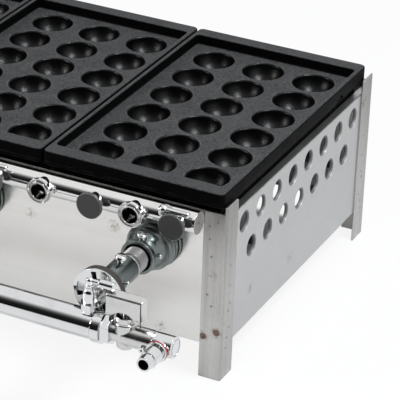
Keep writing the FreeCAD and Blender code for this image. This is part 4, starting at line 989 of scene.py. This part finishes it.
# ---------------------------------------------------------------- sub-assemblies
@dataclass
class SheetBody:
    """The body of bent sheet: panels, legs, ledges, hems, vents' rims, and the spot welds' marks."""

    palette: Palette
    hem_radius: float = 0.8 * MM
    vent_pitch: float = 36.27 * MM
    vent_rows: tuple = ((8, 147.5 * MM), (7, 114.5 * MM))
    vent_profile: tuple = (
        (10.6, -0.9), (10.3, -0.45), (9.9, -0.5), (9.4, -1.1), (9.1, -2.2), (9.05, -3.6), (9.5, -3.6),
        (9.6, -2.2), (9.9, -1.7), (10.6, -1.6))
    vent_steps: int = 40
    spot_radius: float = 1.3 * MM
    burn_radius: float = 3.4 * MM
    spot_height: float = 0.16 * MM
    spot_sides: int = 14
    front_spots: tuple = (
        (8.5, 164.9), (16.3, 158.8), (15.8, 145.7), (13.5, 127.8), (16.5, 88.0), (12.0, 76.7))
    front_burns: tuple = ((18.9, 43.4), (5.9, 50.4))
    side_spots: tuple = (
        (13.6, 116.8), (14.5, 95.5), (15.0, 76.7), (12.0, 69.5), (15.4, 50.6), (11.0, 41.7), (9.0, 31.7))

    def build(self) -> list:
        """Dresses the sheets, and adds the hems, the vents' rims and the weld marks.

        Returns:
            The new pieces.
        """
        dress(self.palette.panel, "front_panel", "back_panel")
        dress(self.palette.side, "left_panel", "right_panel", "plate_ledge_")
        dress(self.palette.leg, "leg_")
        pieces = [self.hem(side) for side in ("front", "back", "left", "right")]
        pieces += [self.vent_rims("left", Axis.LEFT), self.vent_rims("right", Axis.RIGHT)]
        return pieces + self.front_welds() + self.side_welds()

    def hem(self, side: str) -> Piece:
        """Models the rounded fold along the top edge of a panel.

        Args:
            side: The panel's side of the body.

        Returns:
            The finished fold.
        """
        low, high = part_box(side + "_panel")
        place, radius = (low + high) / 2, self.hem_radius
        if side in ("front", "back"):
            place.y = low.y if side == "front" else high.y
            place.z = high.z - radius * 0.6
            length, axis = high.x - low.x, Axis.RIGHT
        else:
            inset = radius * 0.6
            place.x = high.x - inset if side == "right" else low.x + inset
            place.z = high.z - radius * 0.8
            length, axis = high.y - low.y, Axis.FORWARD
        bead = Bench.rod(side + "_panel_hem", place, radius, length, axis, 12)
        Bench.bevel(bead, radius * 0.5, 2, 60.0)
        return Bench.finish(bead, self.palette.leg, BASE, Slot.SHEET, 50.0)

    def vent_rims(self, side: str, axis: Axis) -> Piece:
        """Turns the drawn-in rim of a vent and repeats it over a side panel's two rows.

        Args:
            side: The panel's side of the body.
            axis: The way out of the panel.

        Returns:
            The rims as one piece.
        """
        low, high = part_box(side + "_panel")
        face = high.x if side == "right" else low.x
        centre = (low.y + high.y) / 2
        first = Bench.turn("vent_rim", in_metres(self.vent_profile), self.vent_steps)
        first.data.transform(Matrix.Rotation(axis.value[1], 4, "Y"))
        places = [(face, centre + (place - (count - 1) / 2) * self.vent_pitch, height)
                  for count, height in self.vent_rows for place in range(count)]
        piece = Bench.repeat(side + "_panel_vent_rims", first, places)
        return Bench.finish(piece, self.palette.vent, BASE, Slot.SHEET, 50.0)

    def weld_marks(self, name: str, places: list, radius: float, axis: Axis, finish: Material) -> Piece:
        """Models a weld mark, a low disc with a raised rim and a pit, and repeats it.

        Args:
            name: The marks' name.
            places: Their places on the sheet's face.
            radius: A mark's radius.
            axis: The way they look.
            finish: Their finish.

        Returns:
            The marks as one piece.
        """
        mark = Bench.rod(name, (0, 0, 0), radius, self.spot_height * 2, axis, self.spot_sides)
        for face in mark.data.polygons:
            face.select = face.normal.z > 0.9
        for part in (mark.data.edges, mark.data.vertices):
            part.foreach_set("select", [False] * len(part))
        bpy.ops.object.mode_set(mode="EDIT")
        bpy.ops.mesh.select_mode(type="FACE")
        bpy.ops.mesh.inset(thickness=radius * 0.35, depth=0.0)
        bpy.ops.mesh.inset(thickness=radius * 0.3, depth=-self.spot_height * 0.8)
        bpy.ops.object.mode_set(mode="OBJECT")
        Bench.bevel(mark, self.spot_height * 0.7, 2, 50.0)
        bpy.ops.object.transform_apply(location=True, rotation=True, scale=True)
        return Bench.finish(Bench.repeat(name, mark, places), finish, BASE, Slot.SHEET)

    def front_welds(self) -> list:
        """Adds the marks on the front flanges of both front legs.

        Returns:
            The new pieces.
        """
        pieces = []
        kinds = (("spots", self.front_spots, self.spot_radius, self.palette.weld),
                 ("burns", self.front_burns, self.burn_radius, self.palette.burn))
        for side, leg in ((1, "leg_front_right"), (-1, "leg_front_left")):
            low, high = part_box(leg)
            edge = high.x if side > 0 else low.x
            for label, marks, radius, finish in kinds:
                places = [(edge - side * inset * MM, low.y, height * MM) for inset, height in marks]
                name = f"{leg}_weld_{label}"
                pieces.append(self.weld_marks(name, places, radius, Axis.FORWARD, finish))
        return pieces

    def side_welds(self) -> list:
        """Adds the marks on the side flanges of the right legs, where the body's box has room for them.

        Returns:
            The new pieces.
        """
        pieces = []
        for leg, side in (("leg_front_right", 1), ("leg_back_right", -1)):
            low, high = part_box(leg)
            edge = low.y if side > 0 else high.y
            places = [(high.x, edge + side * inset * MM, height * MM)
                      for inset, height in self.side_spots]
            pieces.append(self.weld_marks(
                leg + "_side_weld_spots", places, self.spot_radius, Axis.RIGHT, self.palette.weld))
        return pieces


@dataclass
class CookingPlates:
    """The three dimpled iron plates, which lift out, with a rounded brim round every pocket."""

    palette: Palette
    floor_height: float
    columns: int = 3
    rows: int = 6
    pitch_across: float = 55.0 * MM
    pitch_along: float = 47.9 * MM
    pocket_radius: float = 20.3 * MM
    brim: float = 2.3 * MM
    overlap: float = 0.2 * MM
    brim_steps: int = 6
    turn_steps: int = 60

    def build(self) -> list:
        """Casts the first plate and repeats it.

        Returns:
            The new pieces.
        """
        first = self.cast(UNITS[0])
        pieces = [first]
        for unit in UNITS[1:]:
            body = "cooking_plate_" + unit
            twin = Bench.twin(first, middle(body) - middle("cooking_plate_" + UNITS[0]))
            twin.name = twin.data.name = "iron_plate_" + unit
            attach(twin, body)
            pieces.append(twin)
        for unit, piece in zip(UNITS, pieces):
            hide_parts("cooking_plate_" + unit)
        return pieces

    def cast(self, unit: str) -> Piece:
        """Makes one plate from its solid, with the sharp mouths of its pockets rounded.

        Args:
            unit: The unit that the plate belongs to.

        Returns:
            The finished plate.
        """
        node = "cooking_plate_" + unit
        plate = Bench.twin(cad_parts[node], (0, 0, 0))
        plate.name = plate.data.name = "iron_plate_" + unit
        Bench.pick([plate])
        if plate.data.has_custom_normals:
            bpy.ops.mesh.customdata_custom_splitnormals_clear()
        Bench.weld(0.000002, outward=False)
        centre = middle(node)
        places = [(centre.x + (column - (self.columns - 1) / 2) * self.pitch_across,
                   centre.y + (row - (self.rows - 1) / 2) * self.pitch_along, 0.0)
                  for column in range(self.columns) for row in range(self.rows)]
        Bench.cut(plate, Bench.repeat("brim_cutters", self.brim_ring(), places))
        return Bench.finish(plate, self.palette.plate, node, Slot.PLATE, 40.0)

    def brim_ring(self) -> Piece:
        """Turns the ring that takes a sharp mouth off, and leaves a rounded brim.

        Returns:
            The ring, at the origin.
        """
        inner = self.pocket_radius - self.overlap
        arc = []
        for step in range(self.brim_steps + 1):
            angle = QUARTER * step / self.brim_steps
            sunk = self.brim * (1 - math.sin(angle))
            arc.append((inner + self.brim * (1 - math.cos(angle)), self.floor_height - sunk))
        above = self.floor_height + self.overlap
        core = inner - self.brim
        profile = [(core, arc[0][1])] + arc + [(arc[-1][0], above), (core, above)]
        return Bench.turn("brim_ring", profile, self.turn_steps)


@dataclass
class LightingRail:
    """The polished rail with its lighting ports, their plug caps and the pilot cocks."""

    palette: Palette

    def build(self) -> list:
        """Dresses the rail, which has no new pieces.

        Returns:
            An empty list.
        """
        dress(self.palette.tube, "port_rail")
        dress(self.palette.cap, "port_cap_")
        dress(self.palette.chrome, "pilot_cocks", "pilot_lever_")
        return []


@dataclass
class FeedLine:
    """What leads the gas and air of each unit into its burner: pipe, bell, socket, drum, shutter."""

    palette: Palette
    bell_profile: tuple = (
        (12.7, 9.0), (23.1, 9.0), (23.5, 9.4), (23.5, 12.4), (22.3, 12.9), (22.3, 14.3), (23.2, 14.8),
        (23.2, 17.2), (22.6, 17.7), (21.3, 18.2), (21.2, 21.0), (20.5, 24.2), (19.2, 27.6), (17.6, 30.8),
        (15.9, 33.4), (15.2, 34.6), (15.2, 35.3), (16.5, 35.5), (16.9, 36.0), (16.9, 40.2), (16.4, 40.8),
        (14.2, 40.8), (13.6, 40.2), (13.6, 28.0), (12.7, 27.5))
    turn_steps: int = 64
    thread_start: float = 41.4 * MM
    thread_end: float = 56.4 * MM
    thread_radius: float = 11.45 * MM
    thread_depth: float = 0.55 * MM
    thread_pitch: float = 1.5 * MM
    thread_steps: int = 32
    gap_radius: float = 13.08 * MM
    gap_depth: float = 1.0 * MM
    gap_place: float = 60.0 * MM
    gap_width: float = 0.7 * MM
    slot_width: float = 0.8 * MM

    def build(self) -> list:
        """Dresses the feed line, and adds its bells, set screws, threads and joint lines.

        Returns:
            The new pieces.
        """
        palette = self.palette
        dress(palette.zinc, "feed_escutcheons", "feed_lock_nuts", "mixer_bell_", "mixer_socket_")
        dress(palette.pipe, "feed_pipes")
        dress(palette.nickel, "injectors")
        dress(palette.ring, "mixer_lock_rings")
        dress(palette.drum, "air_drum_")
        dress(palette.chrome, "air_shutter_", "gas_cock_", "cock_lever_")
        pieces = []
        for unit in UNITS:
            bell = middle("mixer_bell_" + unit)
            foot = Vector((bell.x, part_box("front_panel")[0].y, bell.z))
            pieces += [self.bell(unit, foot), self.thread(unit, foot), self.joint_line(unit, foot)]
            pieces += self.screws(unit, bell, middle("mixer_socket_" + unit))
        return pieces

    @staticmethod
    def lay(piece: Piece, foot: Vector) -> None:
        """Turns an upright piece at the origin to point forward from a point on the front panel."""
        piece.rotation_euler = Axis.FORWARD.value
        piece.location = foot

    def bell(self, unit: str, foot: Vector) -> Piece:
        """Turns the mixer's bell: two flat rings, a domed body, a neck and a thick collar.

        Args:
            unit: The unit's name.
            foot: The point where the feed line's axis meets the panel.

        Returns:
            The finished bell.
        """
        piece = Bench.turn("bell_" + unit, in_metres(self.bell_profile), self.turn_steps)
        self.lay(piece, foot)
        Bench.finish(piece, self.palette.zinc, BASE, Slot.ZINC, 28.0)
        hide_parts("mixer_bell_" + unit)
        return piece

    def thread(self, unit: str, foot: Vector) -> Piece:
        """Winds the open thread of the feed pipe.

        Args:
            unit: The unit's name.
            foot: The point where the feed line's axis meets the panel.

        Returns:
            The finished thread.
        """
        start, half = self.thread_start, self.thread_pitch * 0.42
        ridge = [(self.thread_radius, start), (self.thread_radius, start + half * 2),
                 (self.thread_radius + self.thread_depth, start + half)]
        piece = Bench.outline("feed_thread_" + unit, ridge)
        turns = int((self.thread_end - start) / self.thread_pitch) - 1
        Bench.modify(piece, "SCREW", axis="Z", angle=CIRCLE, screw_offset=self.thread_pitch,
                     iterations=turns, steps=self.thread_steps, render_steps=self.thread_steps)
        bpy.ops.object.mode_set(mode="EDIT")
        bpy.ops.mesh.select_mode(type="EDGE")
        bpy.ops.mesh.select_all(action="DESELECT")
        bpy.ops.mesh.select_non_manifold()
        bpy.ops.mesh.fill_holes(sides=4)
        bpy.ops.object.mode_set(mode="OBJECT")
        self.lay(piece, foot)
        return Bench.finish(piece, self.palette.pipe, BASE, Slot.ZINC)

    def joint_line(self, unit: str, foot: Vector) -> Piece:
        """Turns the dark line where the lock ring meets the socket.

        Args:
            unit: The unit's name.
            foot: The point where the feed line's axis meets the panel.

        Returns:
            The finished line.
        """
        low, high = self.gap_place - self.gap_width / 2, self.gap_place + self.gap_width / 2
        outer, inner, bevel = self.gap_radius, self.gap_radius - self.gap_depth, self.gap_width / 4
        profile = [(inner, low), (outer - bevel, low), (outer, low + bevel), (outer, high - bevel),
                   (outer - bevel, high), (inner, high)]
        piece = Bench.turn("joint_line_" + unit, profile, self.turn_steps)
        self.lay(piece, foot)
        return Bench.finish(piece, self.palette.gap, BASE, Slot.ZINC)

    def screw(self, name: str, foot: Vector, angle: float, radius: float, height: float) -> Piece:
        """Models one slotted screw that stands on a turned part.

        Args:
            name: The screw's name.
            foot: The point on the feed line's axis below the screw.
            angle: The turn from straight up towards +X, in degrees.
            radius: The distance from the axis to the screw's foot.
            height: How far the screw's head stands out.

        Returns:
            The unfinished object.
        """
        head = height * 0.55
        shank = Bench.rod(name, (0, 0, radius + height * 0.2), height * 0.42, height * 0.9, sides=20)
        top = Bench.rod(name, (0, 0, radius + height - head / 2), height * 0.72, head, sides=24)
        Bench.bevel(top, head * 0.3, 3)
        Bench.cut(top, Bench.block(name, (0, 0, radius + height), (height * 2, self.slot_width, head)))
        piece = Bench.join(name, [top, shank])
        bpy.ops.object.transform_apply(location=True, rotation=True, scale=True)
        piece.rotation_euler = (0, math.radians(angle), 0)
        piece.location = foot
        return piece

    def screws(self, unit: str, bell: Vector, socket: Vector) -> list:
        """Adds the set screws of one unit, each with its place, angle, radius and height in millimetres.

        Args:
            unit: The unit's name.
            bell: The middle of its bell.
            socket: The middle of its socket.

        Returns:
            The new pieces.
        """
        pieces = []
        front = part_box("mixer_bell_" + unit)[0].y
        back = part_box("mixer_socket_" + unit)[1].y
        rows = (("bell_set_screw_top", bell, front + 8 * MM, 4.0, 16.4, 6.4),
                ("bell_set_screw_side", bell, front + 10 * MM, 82.0, 17.6, 3.0),
                ("socket_set_screw_top", socket, back - 14 * MM, 6.0, 12.6, 7.4),
                ("socket_set_screw_side", socket, back - 25 * MM, 90.0, 12.6, 3.4))
        for label, part, along, angle, radius, height in rows:
            foot = Vector((part.x, along, part.z))
            piece = self.screw(f"{label}_{unit}", foot, angle, radius * MM, height * MM)
            pieces.append(Bench.finish(piece, self.palette.chrome, BASE, Slot.ZINC))
        return pieces


@dataclass
class GasManifold:
    """The gas pipe across the front, its main valve, elbow and hose end."""

    palette: Palette
    seal_radius: float = 9.9 * MM
    seal_width: float = 1.5 * MM
    seal_wall: float = 0.6 * MM
    seal_gap: float = 0.2 * MM
    seam_width: float = 1.0 * MM
    seam_inset: float = 1.7 * MM
    seam_lift: float = 1.5 * MM

    def build(self) -> list:
        """Dresses the gas line, and adds the seal and the valve's seam.

        Returns:
            The new pieces.
        """
        dress(self.palette.chrome, "manifold", "manifold_cap", "manifold_collar", "union_nut",
              "outlet_elbow", "hose_end", "test_nipple")
        dress(self.palette.nickel, "main_valve_body", "main_valve_handle")
        return [self.seal(), self.handle_seam()]

    def handle_seam(self) -> Piece:
        """Models the dark seam round the front face of the valve's handle.

        Returns:
            The finished seam.
        """
        low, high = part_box("main_valve_handle")
        width, inset, lift = self.seam_width, self.seam_inset, self.seam_lift
        top = ((low.x + high.x) / 2, low.y, high.z - inset)
        side = (high.x - inset, low.y, (low.z + high.z) / 2 + lift)
        bar = Bench.block("handle_seam_top", top, (high.x - low.x - inset * 2, width * 0.5, width))
        post_size = (width, width * 0.5, high.z - low.z - (inset + lift) * 2)
        piece = Bench.join("handle_seam", [bar, Bench.block("handle_seam_side", side, post_size)])
        Bench.bevel(piece, width * 0.2, 2)
        return Bench.finish(piece, self.palette.gap, "main_valve_handle", Slot.VALVE)

    def seal(self) -> Piece:
        """Models the red ring between the elbow and the hose end.

        Returns:
            The finished ring.
        """
        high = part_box("hose_end")[1]
        centre = middle("hose_end")
        centre.y = high.y - self.seal_width / 2 - self.seal_gap
        ring = Bench.rod(
            "hose_seal_ring", centre, self.seal_radius, self.seal_width, Axis.FORWARD, 48, "NOTHING")
        Bench.modify(ring, "SOLIDIFY", thickness=self.seal_wall, offset=-1.0)
        Bench.bevel(ring, 0.25 * MM, 3)
        return Bench.finish(ring, self.palette.seal, BASE, Slot.CHROME)


@dataclass
class Burners:
    """The iron burner pipes below the plates and the bars that carry them."""

    palette: Palette

    def build(self) -> list:
        """Dresses the burners, which have no new pieces."""
        dress(self.palette.burner, "burner_")
        return []


# ---------------------------------------------------------------- studio
@dataclass
class Studio:
    """The pale floor, the soft lamps, the white surroundings, the dark cards and the camera."""

    camera_place: tuple = (1.03962, -1.76632, 1.14193)
    right: tuple = (0.89663, 0.44151, 0.03364)
    up: tuple = (-0.22976, 0.39898, 0.88771)
    forward: tuple = (-0.37851, 0.80367, -0.45918)
    lens: float = 210.21
    sensor: float = 36.0
    clip: tuple = (0.05, 50.0)
    floor_size: float = 8.0
    floor_gap: float = 0.2 * MM
    ambient: float = 0.36
    backdrop: float = 1.0
    glow_seen: float = 0.88
    glow_mirrored: float = 0.25
    # Margins of the floor's glow round the painted shadow under the body.
    lit_side: float = 0.06
    lit_front: float = 0.10
    lit_back: float = 0.012
    lamp_distance: float = 2.0
    card_height: float = 3.2
    card_gap: float = 0.03
    card_dark: float = 0.55
    card_foot: float = 0.012
    card_pale: float = 0.8
    card_curve: float = 1.5

    def build(self) -> list:
        """Sets up the studio, which has no pieces.

        Returns:
            An empty list.
        """
        self.world()
        self.floor()
        self.lamp("key_lamp", (0.53, -0.02, 0.84), 0.55, 30.0, (0.93, 0.97, 1.0))
        self.lamp("fill_lamp", (-0.77, -0.47, 0.46), 0.75, 20.0, (1.0, 0.99, 0.97))
        self.card("front_card", (0.0, -1.7), 4.6, 0.0)
        self.card("left_card", (-2.2, -0.2), 3.0, QUARTER)
        self.camera()
        bpy.context.scene.view_settings.view_transform = "Standard"
        return []

    @staticmethod
    def rays(board: NodeBoard) -> tuple[Socket, Socket]:
        """The mask of the camera's rays, and that of rays from mirrors and through glass."""
        path = board.add("LightPath").outputs
        return (path["Is Camera Ray"],
                board.math("ADD", path["Is Glossy Ray"], path["Is Transmission Ray"]))

    def world(self) -> None:
        """Surrounds the scene with even light, and with white for the rays that see it."""
        world = bpy.data.worlds.new("soft room")
        world.use_nodes = True
        bpy.context.scene.world = world
        board = NodeBoard(world.node_tree)
        background = board.tree.nodes["Background"]
        background.inputs["Color"].default_value = grey(1.0)
        seen = board.math("ADD", *self.rays(board), clamp=True)
        board.feed(background.inputs["Strength"], board.span(seen, self.ambient, self.backdrop))

    def floor(self) -> None:
        """Lays a plain pale floor, which shows almost white and keeps a faint shadow; its glow is left
        out under the body, a painted shadow.
        """
        Bench.clear()
        bpy.ops.mesh.primitive_plane_add(size=self.floor_size, location=(0, 0, -self.floor_gap))
        floor = Bench.take("pale_floor")
        board = Surface("pale paper floor")
        board.wire(Base_Color=board.blend(board.noise(3.0), grey(0.80), grey(0.84)), Roughness=0.9)
        by_camera, mirrored = self.rays(board)
        seen = board.times(by_camera, self.glow_seen)
        share = board.math("ADD", seen, board.times(mirrored, self.glow_mirrored), clamp=True)
        shaders = {1: board.shader.outputs[0], 2: board.add("Emission").outputs[0]}
        # The glow is left out under the body's footprint: a painted shadow.
        mix = board.add("MixShader", {0: board.times(share, self.beside_the_body(board))} | shaders)
        board.feed(board.tree.nodes["Material Output"].inputs[0], mix.outputs[0])
        floor.data.materials.append(board.material)
        floor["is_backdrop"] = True

    def beside_the_body(self, board: NodeBoard) -> Socket:
        """A mask of the floor's glow that is 0 below the body, where little light comes and the missing
        glow paints a shadow, and 1 beside it.

        Args:
            board: The floor's material.

        Returns:
            The socket that gives the mask.
        """
        low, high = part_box("left_panel")[0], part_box("right_panel")[1]
        place = board.axes()
        mask = board.step(place["X"], low.x + self.lit_side, low.x + self.lit_side / 3)
        for side in (
            board.step(place["X"], high.x - self.lit_side, high.x - self.lit_side / 3),
            board.step(place["Y"], low.y + self.lit_front, low.y + self.lit_front * 0.7),
            board.step(place["Y"], high.y - self.lit_back, high.y),
        ):
            mask = board.math("MAXIMUM", mask, side)
        return mask

    def lamp(self, name: str, direction: tuple, size: float, power: float, colour: tuple) -> None:
        """Hangs one soft lamp that looks at the object.

        Args:
            name: The lamp's name.
            direction: The way from the object to the lamp.
            size: The width of its face.
            power: Its power in watts.
            colour: The colour of its light.
        """
        data = bpy.data.lights.new(name, "AREA")
        data.shape = "SQUARE"
        data.size = size
        data.energy = power
        data.color = colour
        lamp = bpy.data.objects.new(name, data)
        way = Vector(direction).normalized()
        lamp.location = way * self.lamp_distance
        lamp.rotation_euler = way.to_track_quat("Z", "Y").to_euler()
        bpy.context.scene.collection.objects.link(lamp)

    def card(self, name: str, place: tuple, width: float, turn: float) -> None:
        """Stands one card that only mirrors see, black at its foot and pale at its top.

        Args:
            name: The card's name.
            place: Its middle across and along.
            width: Its width.
            turn: Its turn about the upright.
        """
        Bench.clear()
        centre = (*place, self.card_height / 2 + self.card_gap)
        bpy.ops.mesh.primitive_plane_add(size=1.0, location=centre)
        card = Bench.take(name)
        card.scale = (width, self.card_height, 1.0)
        card.rotation_euler = (QUARTER, 0.0, turn)
        bpy.ops.object.transform_apply(location=True, rotation=True, scale=True)
        board = Surface(name)
        height = board.step(board.axes()["Z"], self.card_dark, self.card_height)
        rise = board.math("POWER", height, self.card_curve)
        glow = board.add("Emission", {"Strength": board.span(rise, self.card_foot, self.card_pale)})
        board.feed(board.tree.nodes["Material Output"].inputs[0], glow.outputs[0])
        card.data.materials.append(board.material)
        for rays in ("camera", "diffuse", "shadow", "transmission"):
            setattr(card, "visible_" + rays, False)
        card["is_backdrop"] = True

    def camera(self) -> None:
        """Sets up the camera."""
        data = bpy.data.cameras.new("camera")
        data.lens = self.lens
        data.sensor_width = self.sensor
        data.sensor_fit = "HORIZONTAL"
        data.clip_start, data.clip_end = self.clip
        camera = bpy.data.objects.new("camera", data)
        turn = Matrix((self.right, self.up, tuple(-value for value in self.forward))).transposed()
        camera.matrix_world = Matrix.Translation(Vector(self.camera_place)) @ turn.to_4x4()
        bpy.context.scene.collection.objects.link(camera)
        bpy.context.scene.camera = camera


def box_lists() -> list:
    """The whole model's lowest and highest corners as plain numbers."""
    bpy.context.view_layer.update()
    return [[float(value) for value in corner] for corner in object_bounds()]


def main() -> None:
    """Builds the cooker's parts in order, and reports each new piece."""
    logging.basicConfig(level=logging.INFO, format="%(message)s")
    frame_box = box_lists()
    floor_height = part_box("cooking_plate_left")[1].z - RIM_DEPTH
    palette = Palette(Effects(), floor_height)
    parts = (Studio(), SheetBody(palette), CookingPlates(palette, floor_height), LightingRail(palette),
             FeedLine(palette), GasManifold(palette), Burners(palette))
    for part in parts:
        for piece in part.build():
            LOG.info("%s: %s", type(part).__name__, piece.name)
    {"frame": frame_box, "visual": box_lists()}


if __name__ == "__main__":
    main()
